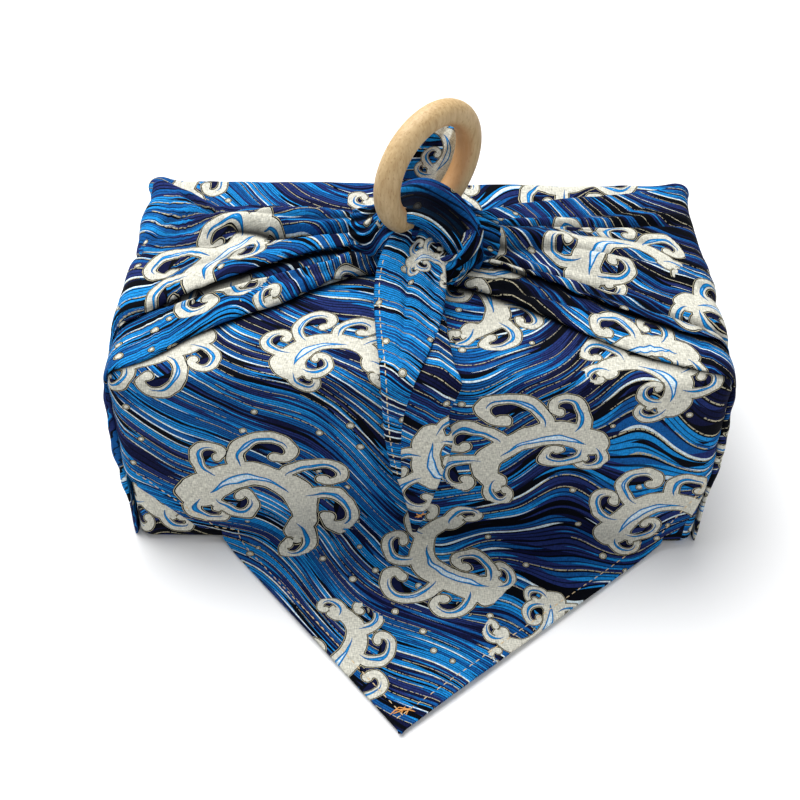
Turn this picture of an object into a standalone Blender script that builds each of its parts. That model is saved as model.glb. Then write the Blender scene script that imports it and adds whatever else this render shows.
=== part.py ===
"""A furoshiki wrap: one square cloth tied through a wooden ring around a gift box.

Sizes are in millimetres and become metres in to_metres(). The box stands with
its long side along X, the flap lies forward along -Y, and +Z is up from the table.
"""

import math

import bmesh
import bpy
from mathutils import Matrix, Vector

MM = 0.001               # one millimetre in metres

# Driving sizes, in millimetres
WIDTH = 230.0            # the wrapped box along X
DEPTH = 126.0            # along Y
HEIGHT = 92.0            # table to the top panel
CLOTH = 1.4              # thickness of one layer with its hem
LAYER_GAP = 0.6          # air between the flap and the panel under it
EDGE_RADIUS = 6.0        # how softly the cloth turns over the box's edges
MOUTH = 60.0             # how deep the top is left open under the flap

BOX_CLEARANCE = 2.4      # box to the cloth around it
BOX_SEAT = 0.3           # box to the cloth under it
BOX_BEVEL = 3.0

FLAP_REACH = 88.7        # front face to the flap's tip
FLAP_LEFT = -79.0        # where the hems cross the box's bottom front edge
FLAP_RIGHT = 101.0
FLAP_TURN = (0.83, -1.20)     # how fast each hem draws in on the table
HEM_CLIMB = (-0.90, 0.48)     # how each hem leans out up the front face
FLAP_WRAP = 121.0        # half the flap's width, led round the upright corners

TIP_WIDTH = 1.5          # the folded corner's blunt end

# Where the flap's rows of points lie on its way over the box
FLAP_COLUMNS = 23
FLAP_BACK = (1.5, 20, 45, 65, 80, 87)                             # heights up the back
FLAP_TOP = (57, 45, 30, 15, 0, -15, -30, -45, -57)                # places along Y over the top
FLAP_FRONT = (87, 76, 64, 54, 48, 44, 40, 36, 28, 20, 13, 8)      # heights down the front
FLAP_HEEL = ((0.3, 4.5), (1.4, 2.6), (3.6, 1.7), (7.0, CLOTH))    # ahead of the box, height
FLAP_ROWS_AHEAD = 8

RING_OUTER = 55.0
RING_SECTION = 10.0
RING_CENTRE = (2.8, 8.4, 136.0)
RING_FACING = (0.723, -0.688, -0.06)
RING_CLEARANCE = 0.3

KNOT_CENTRE = (2.0, 7.0, 107.5)
KNOT_RADII = (21.0, 16.5, 16.5)

ARM_ROOT = 3.6           # how deep an arm is rooted under the flap's outer side
LIP = 1.6                # how far a fold's edge overhangs what lies under it
FOLD_STEP = 0.4          # how far the layer under a fold's edge drops below it
UNDERSIDE_POINTS = 5     # spans across an arm's hidden underside
ARM_STEPS = 2            # rows made between two rows of an arm's or a tail's table
BAND_STEPS = 3
BAND_SIDES = 14
TAIL_POINTS = 7          # points across a tail
TAIL_EDGE = 0.25         # a tail's thickness at its edges, as a share of its middle
SHARP_ANGLE = math.radians(50.0)

# Each row is one section across an arm. "at" runs up the side wall (below zero)
# and from the box's edge in towards the knot (above zero). toe to heel are places
# along Y, from the front edge to the back edge. The _h columns are heights over
# the flap's outer side.
ARM_COLUMNS = ("at", "toe", "fold", "groove", "crest", "shelf", "heel",
               "band_h", "fold_h", "groove_h", "crest_h", "shelf_h")
LEFT_ARM = (
    (-90, -58, -52, 30, 44, 52, 59, 0.3, 0.6, 0.3, 0.6, 0.4),
    (-60, -58, -47, 27, 42, 52, 59, 0.5, 1.6, 0.4, 1.8, 0.8),
    (-30, -58, -41, 24, 41, 51, 59, 0.7, 2.6, 0.6, 2.6, 1.0),
    (-8, -57, -36, 22, 41, 50, 58.4, 0.6, 2.4, 0.5, 2.1, 0.8),
    (4, -56.5, -31, 22, 40, 50, 57.6, 1.4, 3.0, 1.4, 2.4, 1.4),
    (15, -51, -22, 22, 37, 45, 51, 2.6, 4.6, 2.8, 4.4, 2.4),
    (30, -38, -14, 16, 26, 33, 39, 4.0, 6.6, 3.4, 9.2, 5.2),
    (45, -28, -7, 14, 26, 33, 38, 5.0, 8.0, 4.8, 11.7, 6.7),
    (60, -20, 0, 16, 26, 32, 37, 5.8, 9.2, 5.8, 12.7, 7.2),
    (75, -9, 5, 14, 24, 30, 35, 6.8, 10.7, 7.4, 13.7, 8.2),
    (88, -2, 6, 12, 20, 26, 31, 7.8, 11.7, 9.2, 14.7, 9.2),
    (100, 0, 6, 11, 17, 22, 27, 8.7, 12.2, 10.7, 15.2, 10.2),
)
RIGHT_ARM = (
    (-90, -58, -46, -20, -2, 40, 59, 0.3, 0.6, 0.3, 0.6, 0.4),
    (-60, -58, -44, -18, -2, 38, 59, 0.5, 1.4, 0.4, 1.6, 0.6),
    (-30, -58, -42, -15, -3, 36, 59, 0.7, 2.2, 0.7, 2.4, 0.8),
    (-8, -57, -40, -13, -4, 34, 58.4, 0.8, 2.4, 0.8, 2.8, 0.8),
    (4, -56, -39, -12, -4, 34, 57.6, 1.6, 3.4, 1.8, 4.0, 1.6),
    (15, -53, -36, -12, 0, 34, 54, 2.6, 4.6, 3.4, 6.6, 2.6),
    (30, -47, -28, -12, 4, 35, 52, 3.0, 5.8, 4.8, 9.2, 3.0),
    (45, -39, -20, -9, 6, 35, 50, 3.6, 6.8, 5.4, 11.2, 3.4),
    (60, -29, -12, -1, 11, 34, 47, 4.4, 7.6, 5.6, 12.7, 4.0),
    (75, -19, -5, 4, 13, 30, 42, 5.4, 8.2, 6.4, 13.7, 5.2),
    (88, -12, -1, 6, 14, 26, 35, 6.6, 9.2, 8.0, 14.7, 7.2),
    (100, -8, 2, 8, 15, 22, 28, 7.6, 10.7, 10.0, 15.2, 9.2),
)

# The wide band that crosses the knot: its middle line and its two half sizes.
BAND_COLUMNS = ("x", "y", "z", "half_width", "half_thick")
KNOT_BAND = (
    (-14, 12, 112, 8, 4),
    (-9, 7, 120, 10, 3.8),
    (-1, 3, 126, 11.5, 3.6),
    (8, 0, 123, 11.5, 3.6),
    (17, -2, 115, 10.5, 3.8),
    (21, -3, 104, 10, 4),
    (16, -4, 95, 9, 4),
)

# Tails: where the middle line runs, its left and right edges, how far the cloth
# arches between them, and how thick its folded layers lie.
TAIL_COLUMNS = ("y", "z", "left", "right", "arch", "thick")
FRONT_TAIL = (
    (-2, 112, -11, 9, 3.0, 7.0),
    (-12, 107, -15, 10, 3.0, 5.5),
    (-24, 101, -17, 10, 2.6, 4.0),
    (-40, 97.5, -17, 9, 2.2, 3.4),
    (-56, 96, -16, 11, 1.6, 3.2),
    (-66, 92, -15, 14, 1.2, 3.0),
    (-68.5, 80, -14, 15, 1.4, 3.0),
    (-69, 66, -12, 12, 1.8, 3.0),
    (-69, 50, -10, 9, 2.0, 3.0),
    (-68.5, 34, -6, 5, 1.2, 2.8),
    (-67.5, 14, -2, 0, 0.4, 2.6),
)
BACK_TAIL = (
    (14, 104, -9, 13, 3.0, 7.0),
    (20, 117, -8, 16, 3.2, 5.0),
    (24, 128, -4, 18, 3.0, 3.6),
    (28, 137, 3, 19, 2.4, 3.2),
    (34, 141.5, 7, 20, 1.8, 3.0),
    (40, 137, 8, 21, 1.6, 3.0),
    (43, 126, 8, 22, 1.6, 2.8),
    (46, 112, 9, 22, 1.0, 2.8),
    (50, 97, 15, 18, 0.4, 2.6),
)


def to_metres(point):
    """A Vector in metres from a point in millimetres."""
    return Vector(point) * MM


def rows_of(columns, table):
    """The table's rows as dictionaries, one value to a named column."""
    return [dict(zip(columns, row)) for row in table]


def clear_scene():
    """Remove the objects that are in the scene."""
    for item in list(bpy.data.objects):
        bpy.data.objects.remove(item)


def new_collection(name):
    """A collection in the scene."""
    made = bpy.data.collections.new(name)
    bpy.context.scene.collection.children.link(made)
    return made


def new_material(name, colour, roughness):
    """A plain Principled material."""
    made = bpy.data.materials.new(name)
    made.use_nodes = True
    shader = made.node_tree.nodes["Principled BSDF"]
    shader.inputs["Base Color"].default_value = (*colour, 1.0)
    shader.inputs["Roughness"].default_value = roughness
    shader.inputs["Metallic"].default_value = 0.0
    return made


def object_from(name, built, collection):
    """An object from a bmesh, linked to the collection."""
    bmesh.ops.recalc_face_normals(built, faces=built.faces)
    mesh = bpy.data.meshes.new(name)
    built.to_mesh(mesh)
    built.free()
    mesh.shade_smooth()
    mesh.set_sharp_from_angle(angle=SHARP_ANGLE)
    made = bpy.data.objects.new(name, mesh)
    collection.objects.link(made)
    return made


def mixed(start, end, share):
    """The value that lies this share of the way from start to end."""
    return start + (end - start) * share


def smoothed(rows, steps):
    """Catmull-Rom rows through the given rows of numbers, steps to each span."""
    table = [Vector(row) for row in rows]
    ends = [2 * table[0] - table[1], *table, 2 * table[-1] - table[-2]]
    made = []
    for index in range(len(table) - 1):
        a, b, c, d = ends[index:index + 4]
        for step in range(steps):
            t = step / steps
            made.append(0.5 * (2 * b + (c - a) * t + (2 * a - 5 * b + 4 * c - d) * t * t
                               + (3 * b - a - 3 * c + d) * t ** 3))
    return [*made, table[-1]]


def smoothed_table(columns, table, steps):
    """A table with rows added between its own, on a smooth curve."""
    return rows_of(columns, smoothed(table, steps))


def loft(name, rings, collection):
    """A closed body through rings of points, capped at both ends."""
    built = bmesh.new()
    corners = [[built.verts.new(to_metres(point)) for point in ring] for ring in rings]
    for here, there in zip(corners, corners[1:]):
        for index in range(len(here)):
            following = (index + 1) % len(here)
            built.faces.new((here[index], here[following], there[following], there[index]))
    built.faces.new(corners[0])
    built.faces.new(corners[-1])
    return object_from(name, built, collection)


def sheet(name, rows, thickness, collection):
    """A sheet through rows of points on its outer side, thickened inwards."""
    built = bmesh.new()
    corners = [[built.verts.new(to_metres(point)) for point in row] for row in rows]
    for here, there in zip(corners, corners[1:]):
        for index in range(len(here) - 1):
            built.faces.new((here[index], there[index], there[index + 1], here[index + 1]))
    mesh = bpy.data.meshes.new(name)
    built.to_mesh(mesh)
    built.free()
    mesh.shade_smooth()
    mesh.set_sharp_from_angle(angle=SHARP_ANGLE)
    made = bpy.data.objects.new(name, mesh)
    collection.objects.link(made)
    solidify = made.modifiers.new("thickness", "SOLIDIFY")
    solidify.thickness = thickness * MM
    solidify.offset = -1.0
    return made


def on_rounded_box(point, low, high, radius):
    """The point moved onto a box with rounded edges."""
    near = [min(max(value, a + radius), b - radius) for value, a, b in zip(point, low, high)]
    away = Vector(point) - Vector(near)
    return Vector(near) + away.normalized() * radius


def body_panels(collection):
    """The panels under the flap: floor, walls and the turned-in top with its mouth."""
    under = CLOTH + LAYER_GAP
    width, depth, top = WIDTH - 2 * under, DEPTH - 2 * under, HEIGHT - under
    built = bmesh.new()
    size = Matrix.Diagonal((width * MM, depth * MM, top * MM, 1.0))
    place = Matrix.Translation(to_metres((0, 0, top / 2)))
    bmesh.ops.create_cube(built, size=1.0, matrix=place @ size)
    bmesh.ops.bevel(built, geom=built.edges, offset=(EDGE_RADIUS - under) * MM,
                    segments=4, profile=0.5, affect="EDGES")
    lid = max(built.faces, key=lambda face: face.calc_center_median().z * face.calc_area())
    bmesh.ops.inset_individual(built, faces=[lid], thickness=(depth - MOUTH) / 2 * MM)
    bmesh.ops.delete(built, geom=[lid], context="FACES_ONLY")
    panels = object_from("panels", built, collection)
    solidify = panels.modifiers.new("thickness", "SOLIDIFY")
    solidify.thickness = CLOTH * MM
    solidify.offset = -1.0
    solidify.use_even_offset = True
    return panels


def flap_course():
    """The flap's way over the box, as (y, z, left, right) from its back hem to its tip."""
    half = DEPTH / 2
    course = [(half, z, -FLAP_WRAP, FLAP_WRAP) for z in FLAP_BACK]
    course += [(half, HEIGHT + EDGE_RADIUS, -FLAP_WRAP, FLAP_WRAP)]
    course += [(y, HEIGHT, -FLAP_WRAP, FLAP_WRAP) for y in FLAP_TOP]
    course += [(-half, HEIGHT + EDGE_RADIUS, -FLAP_WRAP, FLAP_WRAP)]
    course += [(-half, z, *hems(z)) for z in FLAP_FRONT]
    course += [(-half - ahead, z, *hems(-ahead)) for ahead, z in FLAP_HEEL]
    flat_from = FLAP_HEEL[-1][0]
    for step in range(1, FLAP_ROWS_AHEAD + 1):
        ahead = flat_from + (FLAP_REACH - flat_from) * step / FLAP_ROWS_AHEAD
        course.append((-half - ahead, CLOTH, *hems(-ahead)))
    return course


def hems(climb):
    """Where the two hems stand at a height up the front face, or out on the table below zero."""
    if climb > 0:
        ends = [start + climb * lean for start, lean in zip((FLAP_LEFT, FLAP_RIGHT), HEM_CLIMB)]
    else:
        ends = [start - climb * turn for start, turn in zip((FLAP_LEFT, FLAP_RIGHT), FLAP_TURN)]
    left = max(ends[0], -FLAP_WRAP)
    right = min(ends[1], FLAP_WRAP)
    if right - left > TIP_WIDTH:
        return left, right
    return left - TIP_WIDTH / 2, left + TIP_WIDTH / 2


def flap(collection):
    """The layer that goes up the back, over the top, down the front and out on the table."""
    low = (-WIDTH / 2, -DEPTH / 2, -EDGE_RADIUS)
    high = (WIDTH / 2, DEPTH / 2, HEIGHT)
    rows = []
    for y, z, left, right in flap_course():
        row = []
        for column in range(FLAP_COLUMNS):
            across = -math.cos(math.pi * column / (FLAP_COLUMNS - 1))
            x = (left + right) / 2 + across * (right - left) / 2
            if y < -DEPTH / 2 or (y < 0 and z < EDGE_RADIUS * 1.5):
                row.append(Vector((x, y, z)))
            else:
                row.append(on_rounded_box((x, y, z), low, high, EDGE_RADIUS))
        rows.append(row)
    return sheet("flap", rows, CLOTH, collection)


def on_arm_base(side, at, y, height):
    """A point above the line that climbs the side wall and runs in over the top."""
    quarter = EDGE_RADIUS * math.pi / 4
    x, z = WIDTH / 2 - EDGE_RADIUS, HEIGHT - EDGE_RADIUS
    if at <= -quarter:
        z, turn = z + at + quarter, 0.0
    elif at >= quarter:
        x, turn = x - at + quarter, math.pi / 2
    else:
        turn = (at + quarter) / EDGE_RADIUS
    reach = EDGE_RADIUS + height
    return Vector((side * (x + reach * math.cos(turn)), y, z + reach * math.sin(turn)))


def arm_section(row):
    """(y, height) round one section of an arm: its folds on top, then its flat underside."""
    toe, fold, groove, crest = (row[name] for name in ("toe", "fold", "groove", "crest"))
    band_h, fold_h, groove_h, crest_h = (
        row[name] for name in ("band_h", "fold_h", "groove_h", "crest_h"))
    heel = row["heel"] - LIP
    outline = [
        (toe, -ARM_ROOT),
        (toe - LIP, mixed(0, band_h, 0.5)),
        (mixed(toe, fold, 0.3), band_h),
        (fold + LIP * 0.4, band_h - FOLD_STEP),
        (fold - LIP * 0.8, mixed(band_h, fold_h, 0.4)),
        (mixed(fold, groove, 0.18), fold_h),
        (mixed(fold, groove, 0.65), mixed(fold_h, groove_h, 0.5)),
        (groove, groove_h),
        (mixed(groove, crest, 0.45), mixed(groove_h, crest_h, 0.65)),
        (crest, crest_h),
        (row["shelf"], row["shelf_h"]),
        (row["heel"], mixed(0, row["shelf_h"], 0.5)),
        (heel, -ARM_ROOT),
    ]
    top = [tuple(point) for point in smoothed(outline, 2)]
    shares = [step / UNDERSIDE_POINTS for step in range(1, UNDERSIDE_POINTS)]
    return top + [(mixed(heel, toe, share), -ARM_ROOT) for share in shares]


def arm(name, side, table, collection):
    """One corner of the cloth drawn up a side wall and gathered in to the knot."""
    rings = []
    for row in smoothed_table(ARM_COLUMNS, table, ARM_STEPS):
        rings.append([on_arm_base(side, row["at"], y, h) for y, h in arm_section(row)])
    return loft(name, rings, collection)


def knot_core(collection):
    """The filled middle of the knot."""
    built = bmesh.new()
    shape = Matrix.Diagonal((*to_metres(KNOT_RADII), 1.0))
    place = Matrix.Translation(to_metres(KNOT_CENTRE))
    bmesh.ops.create_uvsphere(built, u_segments=20, v_segments=12, radius=1.0,
                              matrix=place @ shape)
    return object_from("knot_core", built, collection)


def knot_band(collection):
    """The wide band that crosses the knot, rounded in section and facing outwards."""
    rows = smoothed_table(BAND_COLUMNS, KNOT_BAND, BAND_STEPS)
    line = [Vector((row["x"], row["y"], row["z"])) for row in rows]
    rings = []
    for index, row in enumerate(rows):
        along = (line[min(index + 1, len(line) - 1)] - line[max(index - 1, 0)]).normalized()
        outward = line[index] - Vector(KNOT_CENTRE)
        outward = (outward - along * outward.dot(along)).normalized()
        across = along.cross(outward)
        ring = []
        for step in range(BAND_SIDES):
            turn = 2 * math.pi * step / BAND_SIDES
            ring.append(line[index] + across * row["half_width"] * math.cos(turn)
                        + outward * row["half_thick"] * math.sin(turn))
        rings.append(ring)
    return loft("knot_band", rings, collection)


def tail(name, table, collection):
    """A free corner of the cloth, folded lengthwise into a few layers."""
    rows = smoothed_table(TAIL_COLUMNS, table, ARM_STEPS)
    line = [Vector((0.0, row["y"], row["z"])) for row in rows]
    rings = []
    for index, row in enumerate(rows):
        along = (line[min(index + 1, len(line) - 1)] - line[max(index - 1, 0)]).normalized()
        outward = Vector((0.0, along.z, -along.y))
        upper, lower = [], []
        for step in range(TAIL_POINTS):
            share = step / (TAIL_POINTS - 1)
            middle = line[index] + Vector((mixed(row["left"], row["right"], share), 0, 0))
            inside = 1 - (2 * share - 1) ** 2
            rise = row["arch"] * inside
            half = row["thick"] / 2 * mixed(TAIL_EDGE, 1, inside)
            upper.append(middle + outward * (rise + half))
            lower.append(middle + outward * (rise - half))
        rings.append(upper + lower[::-1])
    return loft(name, rings, collection)


def ring_body(name, section, collection):
    """A torus where the ring stands, with the given section diameter."""
    turn = Vector((0, 0, 1)).rotation_difference(Vector(RING_FACING).normalized())
    bpy.ops.mesh.primitive_torus_add(
        major_segments=44, minor_segments=12,
        major_radius=(RING_OUTER - RING_SECTION) / 2 * MM, minor_radius=section / 2 * MM,
        location=to_metres(RING_CENTRE), rotation=turn.to_euler())
    made = bpy.context.object
    made.name = name
    for holder in list(made.users_collection):
        holder.objects.unlink(made)
    collection.objects.link(made)
    return made


def gift_box(name, collection):
    """The plain carton that the cloth is folded over."""
    wall = 2 * CLOTH + LAYER_GAP + BOX_CLEARANCE
    size = (WIDTH - 2 * wall, DEPTH - 2 * wall, HEIGHT - wall - CLOTH - BOX_SEAT)
    centre = (0.0, 0.0, CLOTH + BOX_SEAT + size[2] / 2)
    built = bmesh.new()
    shape = Matrix.Diagonal((*to_metres(size), 1.0))
    place = Matrix.Translation(to_metres(centre))
    bmesh.ops.create_cube(built, size=1.0, matrix=place @ shape)
    bmesh.ops.bevel(built, geom=built.edges, offset=BOX_BEVEL * MM, segments=2,
                    profile=0.5, affect="EDGES")
    return object_from(name, built, collection)


def boolean(target, other, operation):
    """Join or cut the target with a helper object, by the exact solver."""
    modifier = target.modifiers.new(f"{operation.lower()} {other.name}", "BOOLEAN")
    modifier.operation = operation
    modifier.solver = "EXACT"
    modifier.object = other
    other.hide_render = True
    other.display_type = "WIRE"


def build():
    """Model the cloth, the ring and the box."""
    clear_scene()
    parts = new_collection("furoshiki_wrap")
    helpers = new_collection("helpers")
    cloth = body_panels(parts)
    cloth.name = "furoshiki_cloth"
    shapes = [
        flap(helpers),
        arm("left_arm", -1, LEFT_ARM, helpers),
        arm("right_arm", 1, RIGHT_ARM, helpers),
        knot_core(helpers),
        knot_band(helpers),
        tail("front_tail", FRONT_TAIL, helpers),
        tail("back_tail", BACK_TAIL, helpers),
    ]
    for shape in shapes:
        boolean(cloth, shape, "UNION")
    channel = ring_body("ring_channel", RING_SECTION + 2 * RING_CLEARANCE, helpers)
    boolean(cloth, channel, "DIFFERENCE")
    ring = ring_body("wooden_ring", RING_SECTION, parts)
    carton = gift_box("gift_box", parts)
    cloth.data.materials.append(new_material("printed_cotton", (0.05, 0.17, 0.45), 0.8))
    ring.data.materials.append(new_material("beech", (0.72, 0.50, 0.31), 0.5))
    carton.data.materials.append(new_material("cartonboard", (0.55, 0.42, 0.28), 0.85))


build()
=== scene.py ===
"""The furoshiki wrap dressed: printed cotton sheets, folds, seams, beech ring and studio.

Tables and sizes are in millimetres and become metres where a mesh is made. The
cloth lies on its solid's folds. The wave print is drawn in the cloth's own flat
coordinates, so it bends with every fold and hides inside it.
"""

import math

import bpy
import numpy as np
from bpy.props import FloatProperty, FloatVectorProperty, PointerProperty
from mathutils import Matrix, Vector


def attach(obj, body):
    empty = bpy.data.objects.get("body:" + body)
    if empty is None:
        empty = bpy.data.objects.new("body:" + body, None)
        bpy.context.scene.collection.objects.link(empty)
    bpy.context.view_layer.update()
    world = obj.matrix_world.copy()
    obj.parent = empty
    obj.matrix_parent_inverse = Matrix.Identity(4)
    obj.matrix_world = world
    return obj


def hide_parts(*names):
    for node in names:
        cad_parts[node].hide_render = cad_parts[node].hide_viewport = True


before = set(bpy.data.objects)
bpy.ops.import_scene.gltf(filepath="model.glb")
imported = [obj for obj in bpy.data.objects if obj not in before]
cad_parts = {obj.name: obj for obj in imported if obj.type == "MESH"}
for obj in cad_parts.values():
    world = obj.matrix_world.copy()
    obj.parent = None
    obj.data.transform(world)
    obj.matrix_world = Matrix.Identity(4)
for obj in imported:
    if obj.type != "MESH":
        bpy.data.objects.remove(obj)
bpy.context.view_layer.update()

bl_info = {
    "name": "Furoshiki wrap",
    "version": (1, 0, 0),
    "blender": (4, 5, 0),
    "location": "View3D > Sidebar > Wrap",
    "description": "Dresses the knotted wrapping cloth with its print, folds and stitches",
    "category": "Object",
}

MM = 0.001
CLOTH_NODE = "furoshiki_cloth"
RING_NODE = "wooden_ring"
BOX_NODE = "gift_box"
COTTON = "Wave printed cotton"
THREAD = "Tan sewing thread"
TACK_THREAD = "Orange tack thread"
THREAD_SIDES = 6
THREAD_LIFT, THREAD_DIP = 0.55, 1.6  # of a strand's middle and of its ends, over its radius
THREAD_SECTIONS = ((-0.5, 0.15), (-0.36, 0.8), (0.0, 1.0), (0.36, 0.8), (0.5, 0.15))

# The wrapped box, as its solid stands
WIDTH = 230.0
DEPTH = 126.0
HEIGHT = 92.0
EDGE_RADIUS = 6.0
PANEL_GAP = 1.5          # how far the walls lie under the flap's outer side

# The flap: its reach, its hems and how far it wraps round the upright corners
FLAP_REACH = 88.7
FLAP_LEFT = -79.0
FLAP_RIGHT = 101.0
FLAP_TURN = (0.83, -1.20)
HEM_CLIMB = (-0.90, 0.48)
FLAP_WRAP = 121.0
FLAP_ON_TABLE = 1.3
TIP_WIDTH = 1.5
FLAP_START = 1.2         # height up the back at which the flap begins
FLAP_RIPPLES = ((0.34, 46, 3), (0.16, 17, 8))    # rise, size and seed
HEM_RISE, SEAM_SINK, PUCKER = 0.35, 0.30, 0.12
HEM_FREE = (60, 40)      # climb over which the hems come free of the front
TABLE_FREE = (-4, -26)   # climb over which the flap comes free of the table
TABLE_LIFT = (0.4, 0.5)  # how far it stands off the table, and how much more at its hems
FLAP_SAG = (0.6, 46, 30, 115)    # depth, middle, length and half width of the front's sag
TOP_EDGE = (14, 2)       # how far below the top its relief starts and is full
STITCHED_CLIMB = 44.0    # height up the front at which the hem stitches start
FLOOR_ORIGIN = (0, 160)  # flat cloth at the middle of the box's underside
FLAP_HEEL = ((-63.0, 9.0), (-63.3, 4.5), (-64.4, 2.6), (-66.6, 1.7), (-70.0, FLAP_ON_TABLE))

LIP = 1.6                # how far a fold's edge overhangs what lies under it

WALL_SLACK = (0.5, 60, 41, 18)   # rise, size, seed and fade of the walls' unevenness
BACK_LIFT = (2.2, 8)     # rise and reach of the top's back edge
CORNER_LIFT = (2.6, 7, 6)    # the same for its two corners, along X and Y
ARM_END = 104            # how far in from the box's edge the painted shade under an arm reaches
ARM_SHADE = 3.2          # reach of that painted shade ahead of the arm's edge
KNOT_SHADE = (0.9, 10, 17, -6, 8)    # depth of the painted shade round the knot, then middle and reach on X, Y

# Each row is one section across an arm. "at" runs up the side wall (below zero)
# and from the box's edge in towards the knot (above zero). toe to heel are places
# along Y, and the _h columns are heights over the flap's outer side.
ARM_COLUMNS = ("at", "toe", "fold", "groove", "crest", "shelf", "heel",
               "band_h", "fold_h", "groove_h", "crest_h", "shelf_h")
LEFT_ARM = (
    (-90, -58, -52, 30, 44, 52, 59, 0.3, 0.6, 0.3, 0.6, 0.4),
    (-60, -58, -47, 27, 42, 52, 59, 0.5, 1.6, 0.4, 1.8, 0.8),
    (-30, -58, -41, 24, 41, 51, 59, 0.7, 2.6, 0.6, 2.6, 1.0),
    (-8, -57, -36, 22, 41, 50, 58.4, 0.6, 2.4, 0.5, 2.1, 0.8),
    (4, -56.5, -31, 22, 40, 50, 57.6, 1.4, 3.0, 1.4, 2.4, 1.4),
    (15, -51, -22, 22, 37, 45, 51, 2.6, 4.6, 2.8, 4.4, 2.4),
    (30, -38, -14, 16, 26, 33, 39, 4.0, 6.6, 3.4, 9.2, 5.2),
    (45, -28, -7, 14, 26, 33, 38, 5.0, 8.0, 4.8, 11.7, 6.7),
    (60, -20, 0, 16, 26, 32, 37, 5.8, 9.2, 5.8, 12.7, 7.2),
    (75, -9, 5, 14, 24, 30, 35, 6.8, 10.7, 7.4, 13.7, 8.2),
    (88, -2, 6, 12, 20, 26, 31, 7.8, 11.7, 9.2, 14.7, 9.2),
    (100, 0, 6, 11, 17, 22, 27, 8.7, 12.2, 10.7, 15.2, 10.2),
)
RIGHT_ARM = (
    (-90, -58, -46, -20, -2, 40, 59, 0.3, 0.6, 0.3, 0.6, 0.4),
    (-60, -58, -44, -18, -2, 38, 59, 0.5, 1.4, 0.4, 1.6, 0.6),
    (-30, -58, -42, -15, -3, 36, 59, 0.7, 2.2, 0.7, 2.4, 0.8),
    (-8, -57, -40, -13, -4, 34, 58.4, 0.8, 2.4, 0.8, 2.8, 0.8),
    (4, -56, -39, -12, -4, 34, 57.6, 1.6, 3.4, 1.8, 4.0, 1.6),
    (15, -53, -36, -12, 0, 34, 54, 2.6, 4.6, 3.4, 6.6, 2.6),
    (30, -47, -28, -12, 4, 35, 52, 3.0, 5.8, 4.8, 9.2, 3.0),
    (45, -39, -20, -9, 6, 35, 50, 3.6, 6.8, 5.4, 11.2, 3.4),
    (60, -29, -12, -1, 11, 34, 47, 4.4, 7.6, 5.6, 12.7, 4.0),
    (75, -19, -5, 4, 13, 30, 42, 5.4, 8.2, 6.4, 13.7, 5.2),
    (88, -12, -1, 6, 14, 26, 35, 6.6, 9.2, 8.0, 14.7, 7.2),
    (100, -8, 2, 8, 15, 22, 28, 7.6, 10.7, 10.0, 15.2, 9.2),
)

# Creases along an arm: start and end (as "at"), place along Y at both ends, rise
# (below zero it sinks) and half width.
LEFT_CREASES = (
    (-20, 100, -47, 2, -1.1, 2.4),
    (-2, 92, -40, 4, 1.0, 2.8),
    (-14, 86, -40, 3, -2.4, 1.8),
    (8, 60, -8, 9, -1.2, 3.4),
    (34, 98, 3, 12, 1.6, 2.2),
    (28, 100, 21, 12, -2.8, 2.0),
    (-30, 40, 8, 16, -1.6, 4.2),
    (12, 32, 50, 34, -2.2, 2.2),
    (4, 32, 28, 32, -2.0, 2.0),
    (18, 40, 40, 31, -2.6, 1.8),
    (-4, 32, 16, 28, -1.5, 3.6),
    (34, 100, 29, 17, -1.6, 1.8),
    (52, 100, 22, 14, 0.8, 2.0),
    (-86, -14, -30, 4, -0.9, 5.0),
    (-86, -14, 34, 10, -0.8, 5.0),
)
RIGHT_CREASES = (
    (-20, 100, -50, -3, -1.0, 2.6),
    (0, 92, -44, 0, 0.8, 2.8),
    (-14, 60, -43, -14, -2.2, 1.8),
    (30, 98, -20, 5, -4.0, 2.2),
    (40, 86, -29, -13, -1.8, 1.5),
    (40, 86, -24, -9, 1.3, 1.8),
    (12, 100, -1, 9, -1.7, 2.0),
    (6, 98, 16, 18, -1.4, 3.4),
    (30, 100, 24, 20, -1.8, 2.0),
    (-2, 96, 33, 23, -2.6, 1.9),
    (-2, 96, 37.5, 26, 1.2, 2.2),
    (10, 90, 45, 29, -1.0, 2.0),
    (-86, -14, -26, -6, -0.9, 5.0),
    (-86, -14, 30, 4, -0.8, 6.0),
)

ARM_BULGE = 3.4          # how far an arm stands off the side wall at its front edge
BULGE_REACH = (-38, 42, 27)      # where it stands off most, and its reach below and above
ARM_DOME = (2.2, 14, 12, 40, 15)     # puff at the top's back corners: rise, then middle
                                     # and reach along the arm and along Y
ARM_CRUMPLE, ARM_SLACK, ARM_CREPE = (0.5, 19), (0.8, 40), (0.25, 13)     # rise and size
ARM_STEP = 1.3           # from one section of an arm to the next
ARM_POINTS = 130         # points in one section
FOLD_POINT = 45          # reach of the painted shade under the fold
FOLD_SHADE = 2.6         # reach of the shade under the fold
CREASE_DEPTH = 2.8       # depth of a crease whose painted shade is full
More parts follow.
